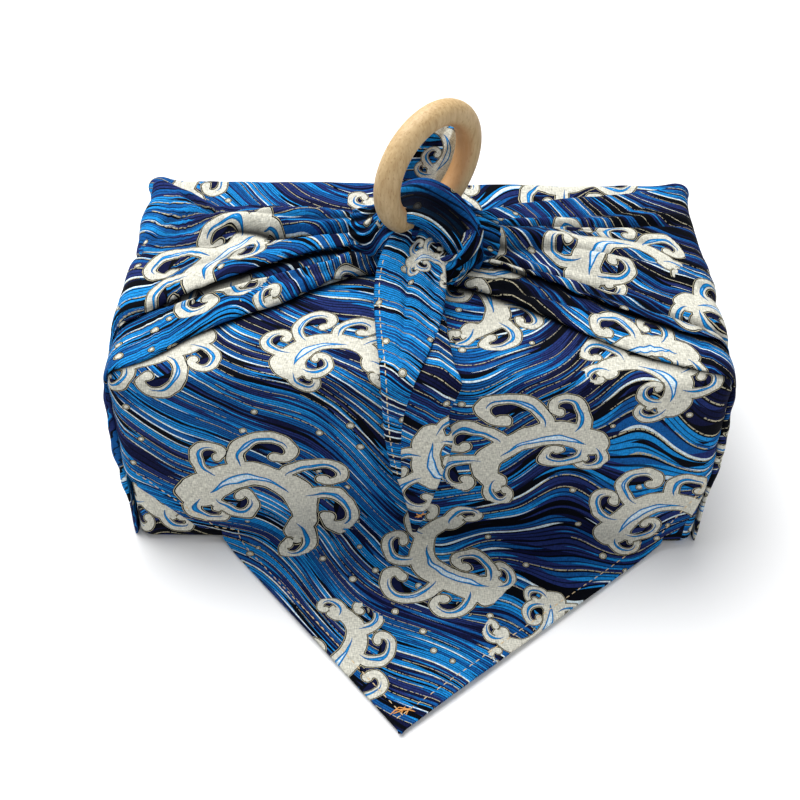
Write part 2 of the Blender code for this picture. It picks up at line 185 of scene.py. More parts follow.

# Bands of the knot: middle line (x, y, z), half width and half thickness
KNOT_CENTRE = (2.0, 7.0, 107.5)
KNOT_BAND = (
    (-14, 12, 111, 8, 4),
    (-9, 7.5, 118.5, 10, 3.8),
    (-1, 4, 123.5, 11, 3.8),
    (8, 1, 120.5, 11, 3.8),
    (15.5, -2, 113, 10.5, 3.8),
    (18.5, -4, 103, 10, 4),
    (14, -5, 95, 9, 4),
)
KNOT_LOBE = (
    (21, 6, 107, 8, 5),
    (18.5, -3, 105, 9, 5.5),
    (12, -8.5, 102, 9, 5.5),
    (3, -9, 102, 8, 4.5),
    (-8, -4, 103, 7, 4),
)
KNOT_ROOT = (
    (-26, 12, 103, 9, 6),
    (-16, 9, 106, 11, 8),
    (-4, 8, 109, 14, 11),
    (8, 7, 109, 14, 11),
    (20, 8, 106, 12, 9),
    (30, 9, 103, 9, 6),
)

# Pleats round each band: place in radians from its front edge, depth and half width
BAND_PLEATS = ((0.34, 1.1, 0.10), (0.70, 0.5, 0.06), (1.46, 3.2, 0.46), (2.14, 0.7, 0.07),
               (2.42, 1.1, 0.12), (2.80, 0.8, 0.08))
BAND_STEPS = ((1.92, 2.8, 0.50), (0.98, 1.9, -0.40), (0.50, 1.0, -0.30), (2.55, 1.0, 0.30))
ROOT_PLEATS = ((0.6, 1.4, 0.13), (1.0, 1.8, 0.15), (1.5, 1.3, 0.11), (2.0, 2.0, 0.16),
               (2.5, 1.4, 0.13))
LOBE_PLEATS = ((0.6, 0.9, 0.10), (1.2, 1.3, 0.14), (1.7, 0.6, 0.08), (2.1, 1.2, 0.13))

PLEAT_DEPTH = 1.7        # depth of a pleat whose painted shade is full
PLEAT_SWAY, STEP_SWAY = (0.05, 6.0), (0.07, 7.0)     # swing in radians and its length
GIRTH_POINTS = 96

# The ring: middle, the way its hole faces, its middle line's radius and half section
RING_CENTRE = (2.8, 8.4, 136.0)
RING_AXIS = (0.723, -0.688, -0.06)
RING_RADIUS = 22.5
RING_SECTION = 5.0
RING_WEAR = 0.05
RING_STEPS = (180, 48)
INNER_SHADE_REACH = 21.5        # reach from its centre of the painted shade on the ring's inner side

# Tails, row by row down the tail: y, z, left and right edge, arch across
FRONT_UNDER = (
    (-2, 110, -9, 8, 3.0),
    (-12, 105.5, -13, 9, 3.0),
    (-24, 100, -15, 9, 2.6),
    (-40, 96.8, -15, 10.5, 2.2),
    (-56, 95.2, -14, 12.5, 1.8),
    (-65, 92, -13.5, 15.2, 1.4),
    (-67.6, 80, -13, 11, 1.6),
    (-68, 66, -11.5, 12.8, 2.0),
    (-68, 50, -9, 10, 2.0),
    (-67.6, 34, -4.8, 6.2, 1.4),
    (-66.6, 13, -1.5, 0.5, 0.3),
)
FRONT_OVER = (
    (0, 114, -10, 9, 3.4),
    (-12, 108.5, -15.5, 9.5, 3.2),
    (-24, 103, -17.3, 10, 3.0),
    (-40, 99.3, -16.6, 7.5, 2.4),
    (-56, 97.6, -15, 2.5, 1.6),
    (-66.4, 94, -14, -1.8, 1.0),
    (-69.4, 80, -13.2, -5.6, 0.7),
    (-70, 66, -12, -6.4, 0.6),
    (-70, 48, -9.2, -6.2, 0.3),
)
BACK_TAIL = (
    (14, 104, -9, 13, 3.0),
    (20, 117, -8, 16, 3.2),
    (24, 128, -4, 18, 3.0),
    (28, 137, 3, 19, 2.4),
    (34, 141.5, 7, 20, 1.8),
    (40, 137, 8, 21, 1.6),
    (43, 126, 8, 22, 1.6),
    (46, 112, 9, 22, 1.0),
    (50, 97, 15, 18, 0.4),
)

TAIL_POINTS = (130, 44)
TAIL_CREPE = (0.25, 16)  # rise and size of a tail's unevenness
TAIL_HEM = 2.0           # from a tail's edge to its stitches
TAIL_HEM_START = 14      # row of the tail at which its stitches start

# Folds along each tail: share across, rise, half width (as a share) and reach down it
UNDER_RIDGES = ((0.80, 1.2, 0.07, 90), (0.62, -0.8, 0.06, 70))
OVER_RIDGES = ((0.46, -2.0, 0.05, 46), (0.64, 1.6, 0.10, 40), (0.30, 0.8, 0.10, 60),
               (0.84, -1.0, 0.04, 34), (0.12, 0.5, 0.06, 120))
BACK_RIDGES = ((0.30, 1.0, 0.09, 200), (0.52, -1.0, 0.07, 200), (0.74, 0.9, 0.10, 200))

# Bar tacks, strand by strand: both ends as x, y on the flap and x, z on the tail
FLAP_TACK = ((-8.4, -144.2, -1.6, -141.6), (-8.0, -142.6, -0.8, -142.6),
             (-6.6, -141.0, 0.4, -143.4), (-5.4, -144.4, -3.6, -140.6),
             (-3.6, -144.8, -1.8, -141.0), (-9.4, -144.8, -5.6, -140.8))
TAIL_TACK = ((-0.9, 23.0, 3.6, 25.0), (-0.4, 24.6, 4.0, 24.2), (0.4, 22.6, 3.0, 26.0),
             (-0.2, 25.6, 2.4, 22.8))

# Foam clusters of the print: place in flat cloth, turn in degrees, size and hand
CLUSTERS = (
    (-60, 38, 352, 1.06, 1),
    (40, 64, 196, 0.94, -1),
    (95, 26, 24, 0.82, 1),
    (8, -8, 128, 0.86, 1),
    (-102, -8, 60, 0.70, -1),
    (-28, -54, 40, 0.74, -1),
    (50, -40, 236, 0.62, 1),
    (-100, 104, 204, 0.80, 1),
    (-34, 112, 24, 0.78, 1),
    (88, 100, 130, 0.74, -1),
    (28, 142, 300, 0.80, 1),
    (86, 156, 60, 0.84, -1),
    (-62, 172, 120, 0.90, -1),
    (4, 204, 240, 0.86, 1),
    (66, 218, 10, 0.92, -1),
    (-104, 226, 310, 0.90, 1),
    (-46, 262, 80, 0.98, -1),
    (24, 276, 190, 0.96, 1),
    (94, 276, 340, 0.92, 1),
    (-142, 84, 30, 0.66, 1),
    (-152, 152, 250, 0.92, -1),
    (-204, 118, 100, 0.86, 1),
    (-238, 172, 20, 0.84, -1),
    (-262, 112, 200, 0.84, 1),
    (140, 112, 200, 0.78, -1),
    (144, 176, 40, 0.84, 1),
    (192, 138, 320, 0.88, 1),
    (240, 100, 130, 0.84, -1),
    (252, 168, 240, 0.90, 1),
    (152, 42, 80, 0.88, 1),
    (216, 46, 190, 0.94, -1),
    (286, 52, 20, 0.96, 1),
    (356, 44, 230, 0.94, -1),
    (426, 54, 110, 0.98, 1),
    (494, 42, 300, 0.90, -1),
    (560, 56, 30, 0.94, 1),
    (-20, 330, 60, 0.78, 1),
    (36, 346, 250, 0.76, -1),
    (-417, 128, 60, 0.46, 1),
    (-429, 387, 150, 0.32, 1),
)

# One cluster of foam: each curl's start, direction in degrees, radius, half width
# of its limb, share of a turn and hand. The first is the crest that the rest grow from.
CURLS = (
    (-24, -8, 64, 32, 7.4, 0.44, -1),
    (-25, -12, -140, 10, 2.4, 0.86, 1),
    (-20, -12, -86, 12, 2.6, 0.86, 1),
    (-19.3, -2, 176, 13.5, 2.9, 0.86, -1),
    (-8.4, 4, 132, 17.5, 3.4, 0.86, -1),
    (8.9, 2, 96, 13.5, 2.9, 0.86, -1),
    (17.6, -8, 50, 14.5, 3.1, 0.86, -1),
    (15.8, -20, -6, 10.5, 2.6, 0.86, -1),
)
CURL_TIGHTNESS = 2.1     # how fast a curl winds in
CURL_TAPER = 0.42        # share of its limb that a curl loses by its end
CURL_BALL = 0.74         # size of the drop at a curl's end, over its limb
BALL_INSET = 0.94        # that drop's distance from the curl's centre, over the curl's radius
CURL_FRONT = 0.10        # turn from which a curl hides what lies behind it
HOLLOW_START = 0.12      # turn at which its hollow opens
HOLLOW_RIM = 2.2         # width of the dark rim inside a hollow
FOAM_LINES = (0.92, 0.70, 0.42)      # outer reach of its dark, gold and inner dark outlines
FOAM_PUSHES = ((0.030, 9.0), (0.17, 1.3))    # rate and push of the noise that roughens foam

# Strokes inside the foam: how they fill, thin and end along a curl, their place
# inward and half width over its limb, and the reach of their three dyes
STROKE_RISE, STROKE_FALL, STROKE_END = 6.0, 1.8, 0.55
STROKE_INWARD, STROKE_HALF = 0.34, 0.42
STROKE_LINES = (0.12, -0.30, -0.80)

SPRAY_SPACINGS = (14.0, 31.0)
SPRAY_LINES = (0.70, 0.42, 0.14, -0.05)
SPRAY_CLEAR = 2.0        # bare cloth kept between the foam and the spray
ROOT_SIZE = 1.1          # rounded start of the crest, over its limb
STROKE_INSET = -0.4      # strokes stay this far inside the foam

# Distances that are added to a form to hide it
STROKE_CUT, HOLLOW_CUT, FRONT_CUT = 20.0, 40.0, 60.0
CLUSTER_CUT, DROP_CUT, SPRAY_CUT = 40.0, 50.0, 9.0

FAR = 1e9                # farther than any cluster of foam

# Streams: swing, wavelengths along U and V, and phase of each bend
STREAM_BENDS = ((34, 250, 900, 0.9), (9.5, 104, -300, 2.2), (1.8, 41, 120, 0.4))
STREAM_SLOPE = 0.34
CLUSTER_PULL = (8, 36)   # how far a cluster draws the streams, and its reach
CLUSTER_REACH = (40, 46)     # where a cluster's foam begins to end, and ends
CLUSTER_GAP = 3          # bare cloth kept between two clusters
TONE_RIPPLE = (0.12, 170, 5)     # swing, size and seed of the print's tone
TONE_SLOPE = 0.0007      # how much darker it grows along U
STREAM_PITCH = 4.3       # between one stream of the print and the next
STREAM_STOPS = (0.0, 0.18, 0.35, 0.51, 0.70)     # tones at which the five dyes start
STREAM_DRIFT = 0.022     # rate at which a stream's own form changes along it
STREAM_BROAD = 0.012     # rate at which the print grows lighter and darker
LANE_STEP = 44.0         # sets each stream's own form apart from the next one's
TONGUE_AT, SLIVER_AT = 0.58, 0.26    # places across a stream of its tongue and its white sliver
STREAM_EDGE, GOLD_EDGE = 0.11, 0.20  # reach across it of its dark line and its gold line
FINE_LINES = 3.0         # fine dark lines in one stream
STREAM_TONE = (0.66, 1.1, -0.40)     # share of a stream's own tone, of the broad one, and shift
TONE_ACROSS = (0.16, -0.08)  # how tone rises across a stream
TONGUE_TONE = 0.32       # difference in tone between a stream and its tongue
TONGUE_WIDTH, SLIVER_WIDTH = (2.2, -0.98), (1.0, -0.54)  # scale and shift of their half widths
SLIVER_MOST = 0.11       # widest that half a sliver gets
FINE_WIDTH, FINE_DEPTH = 0.5, 0.85   # width of the fine lines, and how dark they are
PLAIN_STREAMS = 0.16     # share of the streams that have no fine lines
GOLD_STREAMS, GOLD_SPECKLE, GOLD_DRIFT = 0.40, 0.42, 0.42    # where gold begins to show
SPECKLE_RATE = 1.1       # of the specks that break the gold

SHADE = (1.3, 0.96)      # power and depth of the painted shade in creases and under the arms
WEAVE_STRETCH = ((2.8, 0.5, 1), (0.5, 2.8, 1))   # rates of the warp and the weft
WEAVE_LIGHT = (1.15, -0.17)  # scale and shift of how light a thread is
DROP_SIZE = (0.6, 0.55)  # spread and least radius of the drops of spray
DROP_CROWD = (0.016, 1.6, -0.38)     # rate, scale and shift of where drops are left out
GRAIN_RATE, FLECK_RATE = (900, 900, 110), (1500, 1500, 420)  # of the ring's wood, in 1/m
GRAIN_TURN = 0.8
GRAIN_SHARE, CLOUD_SHARE, GRAIN_MOST = (1.6, -0.62), (1.2, -0.60), 0.8
FLECK_START, FLECK_RISE, FLECK_MOST = 0.62, 9.0, 0.6
INNER_SHADE_RISE, INNER_SHADE_MOST = 260.0, 0.75     # how sharply the painted shade on the ring's inner side starts, and its most

# Studio, in metres, watts and degrees: each light's name, place, size and power
LIGHTS = (("key", (-0.34, 0.42, 1.15), 1.2, 27), ("fill", (0.4, -0.8, 0.9), 1.0, 3.0))
LIT_PLACE = (0, 0, 0.05)
SKY = (0.95, 0.97, 1.0, 1.0)
SKY_STRENGTH = 0.35
FLOOR_HALF = 2.0
FLOOR_DROP = 0.0002
FLOOR_GREYS = ((0.93, 0.93, 0.93, 1), (0.95, 0.95, 0.95, 1))
CAMERA_PLACE = (-0.0070, -0.3930, 0.4000)
CAMERA_TILT, CAMERA_ROLL = 43.88, 0.7
CAMERA_LENS, CAMERA_SENSOR = 56.28, 36.0


# ---- settings

def colour_property(name, description, code):
    """A colour setting from a display code."""
    values = [int(code[place:place + 2], 16) / 255 for place in (0, 2, 4)]
    linear = [value / 12.92 if value <= 0.04045 else ((value + 0.055) / 1.055) ** 2.4
              for value in values]
    return FloatVectorProperty(name=name, description=description, subtype="COLOR",
                               size=4, min=0.0, max=1.0, default=(*linear, 1.0))


def length_property(name, description, default):
    """A length setting in metres."""
    return FloatProperty(name=name, description=description, default=default,
                         subtype="DISTANCE", unit="LENGTH", min=0.00001, max=1.0, precision=5)


class WrapSizes(bpy.types.PropertyGroup):
    """Sizes of the cloth's sheets, hems and stitches."""

    spacing: length_property("Sheet spacing", "Distance between a sheet's points", 0.0015)
    thickness: length_property("Cloth thickness", "How thick the printed cotton is", 0.0009)
    hem: length_property("Hem width", "From the cloth's edge to its hem stitches", 0.0052)
    stitch: length_property("Stitch length", "Length of one hem stitch", 0.0023)
    stitch_gap: length_property("Stitch gap", "Gap between two hem stitches", 0.0009)
    thread: length_property("Thread radius", "Half the sewing thread's thickness", 0.00022)


class WrapColours(bpy.types.PropertyGroup):
    """Colours of the print, threads, ring and box."""

    # the print's darkest lines, and also the colour that painted shade darkens towards
    ink_and_shade: colour_property("Ink", "Darkest lines of the print", "04060d")
    navy: colour_property("Navy", "Dark streams", "0e1334")
    indigo: colour_property("Indigo", "Violet streams", "1f2c60")
    blue: colour_property("Blue", "Middle streams", "12508f")
    azure: colour_property("Azure", "Bright streams", "1a80c6")
    white: colour_property("White", "Slivers of light", "cbd9de")
    cream: colour_property("Cream", "Foam and spray", "c8c6b9")
    teal: colour_property("Teal", "Strokes inside the foam", "175f96")
    gold: colour_property("Gold", "Metal-look outlines", "aba48a")
    thread: colour_property("Thread", "Hem stitches", "cdb48a")
    tack: colour_property("Tack", "Bar tacks", "cf8f4a")
    beech: colour_property("Beech", "Ring's wood", "cbae80")
    beech_dark: colour_property("Beech grain", "Dark grain of the ring", "a5814f")
    # painted shade: darker, warmer colour for the ring's inner side
    beech_inner_shade: colour_property("Beech inner face", "Painted shade on the ring's inner side", "c08a55")
    carton: colour_property("Carton", "Box inside the cloth", "b99468")


def sizes():
    """The size settings."""
    return bpy.context.scene.wrap_sizes


def colours():
    """The colour settings."""
    return bpy.context.scene.wrap_colours


# ---- numbers

def smooth_rows(table, steps):
    """Catmull-Rom rows through the table's rows, along its next-to-last axis."""
    rows = np.asarray(table, float)
    first = 2 * rows[..., :1, :] - rows[..., 1:2, :]
    last = 2 * rows[..., -1:, :] - rows[..., -2:-1, :]
    ends = np.concatenate([first, rows, last], axis=-2)
    spans = []
    for place in range(rows.shape[-2] - 1):
        a, b, c, d = (ends[..., place + shift, None, :] for shift in range(4))
        t = np.linspace(0, 1, steps, endpoint=False)[:, None]
        spans.append(0.5 * (2 * b + (c - a) * t + (2 * a - 5 * b + 4 * c - d) * t * t
                            + (3 * b - a - 3 * c + d) * t ** 3))
    return np.concatenate([*spans, rows[..., -1:, :]], axis=-2)


def lengths_along(line):
    """How far along a line each of its points lies."""
    steps = np.linalg.norm(np.diff(line, axis=0), axis=1)
    return np.concatenate([[0.0], np.cumsum(steps)])


def respaced(line, count, measured=slice(None)):
    """The line's rows at an even spacing, by the length of its measured columns."""
    length = lengths_along(line[:, measured])
    wanted = np.linspace(0, length[-1], count)
    return np.stack([np.interp(wanted, length, column) for column in line.T], axis=1)


def blend(low, high, value):
    """A smooth step from 0 at low to 1 at high."""
    share = np.clip((value - low) / (high - low), 0, 1)
    return share * share * (3 - 2 * share)


def hump(value, middle, reach):
    """1 in the middle, falling softly to 0 past its reach."""
    return np.exp(-((value - middle) / reach) ** 2)


def unit(vectors):
    """Rows of vectors, each of length 1."""
    return vectors / np.linalg.norm(vectors, axis=1, keepdims=True)


def ripple(a, b, size, seed):
    """Soft uneven bumps of about this size, from -1 to 1."""
    total = np.zeros(np.broadcast(a, b).shape)
    draw = np.random.default_rng(seed)
    for _ in range(7):
        turn = draw.uniform(0, 2 * math.pi)
        rate = draw.uniform(0.6, 1.7) * 2 * math.pi / size
        total += np.sin(rate * (a * math.cos(turn) + b * math.sin(turn)) + draw.uniform(0, 6.3))
    return total / 3.2


def normals_of(points):
    """Unit normals of a grid of points."""
    normal = np.cross(np.gradient(points, axis=1), np.gradient(points, axis=0))
    return normal / np.maximum(np.linalg.norm(normal, axis=-1, keepdims=True), 1e-9)


def in_flat(u, v, origin, turn=0.0):
    """Places in flat cloth for a piece's own (u, v), moved and turned."""
    u, v = np.broadcast_arrays(u, v)
    cos, sin = math.cos(math.radians(turn)), math.sin(math.radians(turn))
    return np.stack([origin[0] + cos * u - sin * v, origin[1] + sin * u + cos * v], axis=-1)


# ---- print layout

def print_fields(at):
    """The print at flat cloth points: its flow, its tone and the foam's own coordinates."""
    u, v = at[:, 0], at[:, 1]
    flow = v + STREAM_SLOPE * u
    for swing, wide, long, phase in STREAM_BENDS:
        flow = flow + swing * np.sin(2 * math.pi * (u / wide + v / long) + phase)
    pull, pull_reach = CLUSTER_PULL
    reach = np.full(len(at), FAR)
    runner_up = reach.copy()
    foam = np.zeros((len(at), 3))
    for cu, cv, turn, size, hand in CLUSTERS:
        du, dv = u - cu, v - cv
        away = np.hypot(du, dv) / size
        flow += pull * hand * size * hump(away, 0, pull_reach)
        near = away < reach
        runner_up = np.where(near, reach, np.minimum(runner_up, away))
        reach = np.where(near, away, reach)
        local = in_flat(du, dv, (0, 0), -turn) / size
        foam[near, 0] = local[near, 0]
        foam[near, 1] = hand * local[near, 1]
    foam[:, 2] = blend(0, CLUSTER_GAP, runner_up - reach) * (1 - blend(*CLUSTER_REACH, reach))
    swing, size, seed = TONE_RIPPLE
    return flow, swing * ripple(u, v, size, seed) - TONE_SLOPE * u, foam


# ---- meshes

def grid_faces(rows, columns, wrap_rows=False, wrap_columns=False):
    """Quads of a grid of points, joined round the way or ways that wrap."""
    index = np.arange(rows * columns).reshape(rows, columns)
    beside, below = np.roll(index, -1, axis=1), np.roll(index, -1, axis=0)
    corners = np.stack([index, beside, np.roll(beside, -1, axis=0), below], axis=-1)
    corners = corners[:rows if wrap_rows else -1, :columns if wrap_columns else -1]
    return corners.reshape(-1, 4)


def new_piece(name, points, faces, material):
    """A smooth piece through points in millimetres, with one material."""
    mesh = bpy.data.meshes.new(name)
    mesh.from_pydata((np.reshape(points, (-1, 3)) * MM).tolist(), [], faces)
    mesh.shade_smooth()
    mesh.materials.append(material)
    made = bpy.data.objects.new(name, mesh)
    bpy.context.scene.collection.objects.link(made)
    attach(made, "root")
    return made


def cloth_piece(name, points, flat, flip=False, wrap=False, thick=True, painted_shade=0.0):
    """A sheet through a grid of points, with its print laid out on it.

    points are rows x columns x 3 and flat is each point's place in flat cloth,
    both in millimetres. wrap joins the last column to the first. painted_shade
    says how dark each point is painted as shade in a crease, from 0 to 1.
    """
    grid = points.shape[:2]
    faces = grid_faces(*grid, wrap_columns=wrap)
    made = new_piece(name, points, (faces[:, ::-1] if flip else faces).tolist(),
                     cotton_material())
    mesh = made.data
    flat = flat.reshape(-1, 2)
    layer = mesh.uv_layers.new(name="cloth")
    loops = np.empty(len(mesh.loops), np.int32)
    mesh.loops.foreach_get("vertex_index", loops)
    layer.data.foreach_set("uv", (flat[loops] * MM).astype(np.float32).ravel())
    flow, tone, foam = print_fields(flat)
    painted_shade = np.broadcast_to(np.clip(painted_shade, 0, 1), grid).ravel()
    # flow carries the print's flow, its tone and the painted shade
    for label, values in (("flow", np.stack([flow, tone, painted_shade], axis=1)), ("foam", foam)):
        field = mesh.attributes.new(label, "FLOAT_VECTOR", "POINT")
        field.data.foreach_set("vector", values.astype(np.float32).ravel())
    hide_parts(CLOTH_NODE)
    if thick:
        solidify = made.modifiers.new("Cloth thickness", "SOLIDIFY")
        solidify.thickness = sizes().thickness
        solidify.offset = -1.0
    return made


def thread_piece(name, strands, radius, material):
    """Rounded threads: each strand has its middle, its way along, its way up and length."""
    turns = np.linspace(0, 2 * math.pi, THREAD_SIDES, endpoint=False)
    vertices, faces = [], []
    for spot, along, up, length in strands:
        along = along / np.linalg.norm(along)
        side = np.cross(along, up)
        side /= np.linalg.norm(side)
        up = np.cross(side, along)
        first = len(vertices)
        for share, size in THREAD_SECTIONS:
            sink = THREAD_LIFT * radius - THREAD_DIP * radius * (2 * share) ** 2
            for turn in turns:
                vertices.append(spot + along * share * length + up * sink
                                + radius * size * (side * math.cos(turn) + up * math.sin(turn)))
        sides = grid_faces(len(THREAD_SECTIONS), THREAD_SIDES, wrap_columns=True) + first
        faces.extend(sides.tolist())
        faces.append(list(range(first + THREAD_SIDES - 1, first - 1, -1)))
        faces.append(list(range(len(vertices) - THREAD_SIDES, len(vertices))))
    made = new_piece(name, vertices, faces, material)
    return made


def stitch_piece(name, runs):
    """Hem stitches along runs of points and the ways out of the cloth there."""
    settings = sizes()
    pitch = (settings.stitch + settings.stitch_gap) / MM
    strands = []
    for line, outward in runs:
        far = lengths_along(line)
        for middle in np.arange(pitch, far[-1] - pitch / 2, pitch):
            spot, before, after, up = (
                np.array([np.interp(place, far, column) for column in values.T])
                for place, values in ((middle, line), (middle - 0.6, line),
                                      (middle + 0.6, line), (middle, outward)))
            strands.append((spot, after - before, up, settings.stitch / MM))
    return thread_piece(name, strands, settings.thread / MM,
                        thread_material(THREAD, colours().thread))


def tack_piece(name, points, ends, axes):
    """A bar tack: strands between pairs of places on a sheet's grid of points."""
    places = points.reshape(-1, 3)
    ways = -normals_of(points).reshape(-1, 3)
    strands = []
    for pair in ends:
        near = [int(np.argmin(np.linalg.norm(places[:, axes] - spot, axis=1)))
                for spot in (pair[:2], pair[2:])]
        spots = places[near]
        for place, spot in enumerate((pair[:2], pair[2:])):
            spots[place, list(axes)] = spot
        way = ways[near].mean(axis=0)
        along = spots[1] - spots[0]
        strands.append((spots.mean(axis=0) + 0.15 * way, along, way, np.linalg.norm(along)))
    return thread_piece(name, strands, 1.25 * sizes().thread / MM,
                        thread_material(TACK_THREAD, colours().tack))


# ---- panels and flap

def rounded(points, low, high, radius):
    """The points moved onto a box with rounded edges."""
    near = np.clip(points, np.array(low) + radius, np.array(high) - radius)
    away = points - near
    return near + away / np.linalg.norm(away, axis=-1, keepdims=True) * radius


def wall_points():
    """Points of the four walls, from the floor up and round the top edge."""
    half_width, half_depth = WIDTH / 2 - PANEL_GAP, DEPTH / 2 - PANEL_GAP
    radius = EDGE_RADIUS - PANEL_GAP
    spacing = sizes().spacing / MM
    loop = []
    for corner_x, corner_y, start in ((1, -1, -90), (1, 1, 0), (-1, 1, 90), (-1, -1, 180)):
        for turn in np.radians(np.linspace(start, start + 90, 7)):
            loop.append((corner_x * (half_width - radius) + radius * math.cos(turn),
                         corner_y * (half_depth - radius) + radius * math.sin(turn)))
    loop = np.array([*loop, loop[0]])
    loop = respaced(loop, int(2 * (WIDTH + DEPTH) / spacing))
    turn = np.linspace(math.pi / 2, 0, 6)
    inset = radius * (1 - np.cos(turn))
    lift = radius * (1 - np.sin(turn))
    upright = np.arange(radius + spacing, HEIGHT - EDGE_RADIUS, spacing)
    inset = np.concatenate([inset, 0 * upright, inset[::-1]])
    height = np.concatenate([lift, upright, HEIGHT - PANEL_GAP - lift[::-1]])
    x = loop[None, :, 0] * ((half_width - inset) / half_width)[:, None]
    y = loop[None, :, 1] * ((half_depth - inset) / half_depth)[:, None]
    rise, size, seed, fade = WALL_SLACK
    slack = rise * ripple(lengths_along(loop)[None, :], height[:, None], size, seed)
    slack = (slack * blend(0, fade, height)[:, None]
             * blend(HEIGHT, HEIGHT - fade, height)[:, None])
    points = np.stack(np.broadcast_arrays(x, y, height[:, None]), axis=-1)
    points[..., :2] *= 1 + slack[..., None] / 100
    flat = in_flat(lengths_along(loop)[None, :] - WIDTH / 2 - 6, height[:, None] + 4, (0, 0))
    return points, flat


def hems(climb):
    """The two hems at a height up the front face, or out on the table below zero."""
    left = np.where(climb > 0, FLAP_LEFT + climb * HEM_CLIMB[0], FLAP_LEFT - climb * FLAP_TURN[0])
    right = np.where(climb > 0, FLAP_RIGHT + climb * HEM_CLIMB[1],
                     FLAP_RIGHT - climb * FLAP_TURN[1])
    left = np.maximum(left, -FLAP_WRAP)
    right = np.minimum(right, FLAP_WRAP)
    middle = (left + right) / 2
    half = np.maximum((right - left) / 2, TIP_WIDTH / 2)
    return middle - half, middle + half


def flap_points():
    """The flap up the back, over the top, down the front and out on the table.

    Gives the grid's points, their places in flat cloth, their distances from both
    hems, each row's climb up the front, whether it lies in front, and each point's
    painted shade under the arms and round the knot.
    """
    spacing = sizes().spacing / MM
    half = DEPTH / 2
    line = np.array([(half, FLAP_START), (half, HEIGHT), (-half, HEIGHT), *FLAP_HEEL,
                     (-half - FLAP_REACH, FLAP_ON_TABLE)])
    line = respaced(line, int(lengths_along(line)[-1] / spacing))
    y, z = line.T
    front = y < -half + 1e-6
    climb = np.where(front, np.where(y > -half - 1e-6, z, y + half), HEIGHT)
    v = 2 * HEIGHT + DEPTH - z[0] - lengths_along(line)
    left, right = hems(climb)
    across = np.linspace(-1, 1, int(2 * FLAP_WRAP / spacing))
    x = (left + right)[:, None] / 2 + across * (right - left)[:, None] / 2
    points = np.stack(np.broadcast_arrays(x, y[:, None], z[:, None]), axis=-1)
    on_box = (y > 0) | ((y > -half - 0.01) & (z > EDGE_RADIUS * 1.5))
    points[on_box] = rounded(points[on_box], (-WIDTH / 2, -half, -EDGE_RADIUS),
                             (WIDTH / 2, half, HEIGHT), EDGE_RADIUS)
    slopes = [[1 / math.hypot(1, HEM_CLIMB[side]), 1 / math.hypot(1, FLAP_TURN[side])]
              for side in (0, 1)]
    from_left = (x - left[:, None]) * np.where(climb > 0, *slopes[0])[:, None]
    from_right = (right[:, None] - x) * np.where(climb > 0, *slopes[1])[:, None]
    down = v[:, None]
    rise = flap_relief(x, down, climb, front, np.minimum(from_left, from_right))
    low, full = TOP_EDGE
    top = (z > HEIGHT - low)[:, None] * blend(HEIGHT - low, HEIGHT - full, z)[:, None]
    rise = rise + top * back_lift(x, y[:, None])
    points = points - normals_of(points) * rise[..., None]
    # painted shadow on the top under the arms' edges and round the knot
    painted_shade = top * painted_shade_under_arms(x, y[:, None])
    return points, in_flat(x, down, (0, 0)), (from_left, from_right), climb, front, painted_shade


def flap_relief(x, down, climb, front, from_hem):
    """How far the flap's hems, ripples and slack stand off its plain form."""
    hem = sizes().hem / MM
    free = (blend(*HEM_FREE, np.maximum(climb, 0)) * front)[:, None]
    hem_rise = HEM_RISE * free * (1 - blend(hem - 0.4, hem + 1.4, from_hem))
    seam = -SEAM_SINK * free * hump(from_hem, hem, 1.0)
    pucker = PUCKER * free * hump(from_hem, hem, 2.5) * ripple(x, down, 5, 17)
    soft = sum(high * ripple(x, down, size, seed) for high, size, seed in FLAP_RIPPLES)
    table = (blend(*TABLE_FREE, climb) * front)[:, None]
    stand, more = TABLE_LIFT
    lift = table * (stand + more * (1 + ripple(x, down, 60, 12)) * blend(34, 0, from_hem))
    depth, middle, length, half_width = FLAP_SAG
    sag = (hump(down, middle, length)
           * np.cos(np.clip(x / half_width, -1, 1) * math.pi / 2))
    return (hem_rise + seam + pucker + soft * (1 - 0.7 * table) + lift
            - depth * sag * front[:, None])


def painted_shade_under_arms(x, y):
    """Painted shade on the top, in the crease under an arm and round the knot, from 0 to 1."""
    reach = np.zeros(np.broadcast(x, y).shape)
    for side, table in ((-1, LEFT_ARM), (1, RIGHT_ARM)):
        at = WIDTH / 2 - side * x
        rows = np.array(table, float)
        ahead = np.interp(at, rows[:, 0], rows[:, 1]) - LIP - y
        near = hump(np.maximum(ahead, 0), 0, ARM_SHADE) * blend(-6, -2, ahead)
        reach = np.maximum(reach, (at < ARM_END) * near)
    depth, x_at, wide, y_at, long = KNOT_SHADE
    knot = depth * np.exp(-((x - x_at) / wide) ** 2 - ((y - y_at) / long) ** 2)
    return np.maximum(reach, knot)


def line_on_grid(points, distance, wanted, rows):
    """A line over a grid where the distance reaches a wanted value, row by row."""
    normal = -normals_of(points)
    line, outward = [], []
    for row in rows:
        order = np.argsort(distance[row])
        values = distance[row][order]
        if values[-1] < wanted:
            break
        line.append([np.interp(wanted, values, column[order]) for column in points[row].T])
        outward.append([np.interp(wanted, values, column[order]) for column in normal[row].T])
    return np.array(line), np.array(outward)


# ---- arms

def back_lift(x, y):
    """How far the top's back edge and its two corners stand up."""
    rise, reach = BACK_LIFT
    edge = rise * hump(y, DEPTH / 2, reach)
    rise, wide, long = CORNER_LIFT
    return edge + rise * np.exp(-((np.abs(x) - WIDTH / 2) / wide) ** 2
                                - ((y - DEPTH / 2) / long) ** 2)


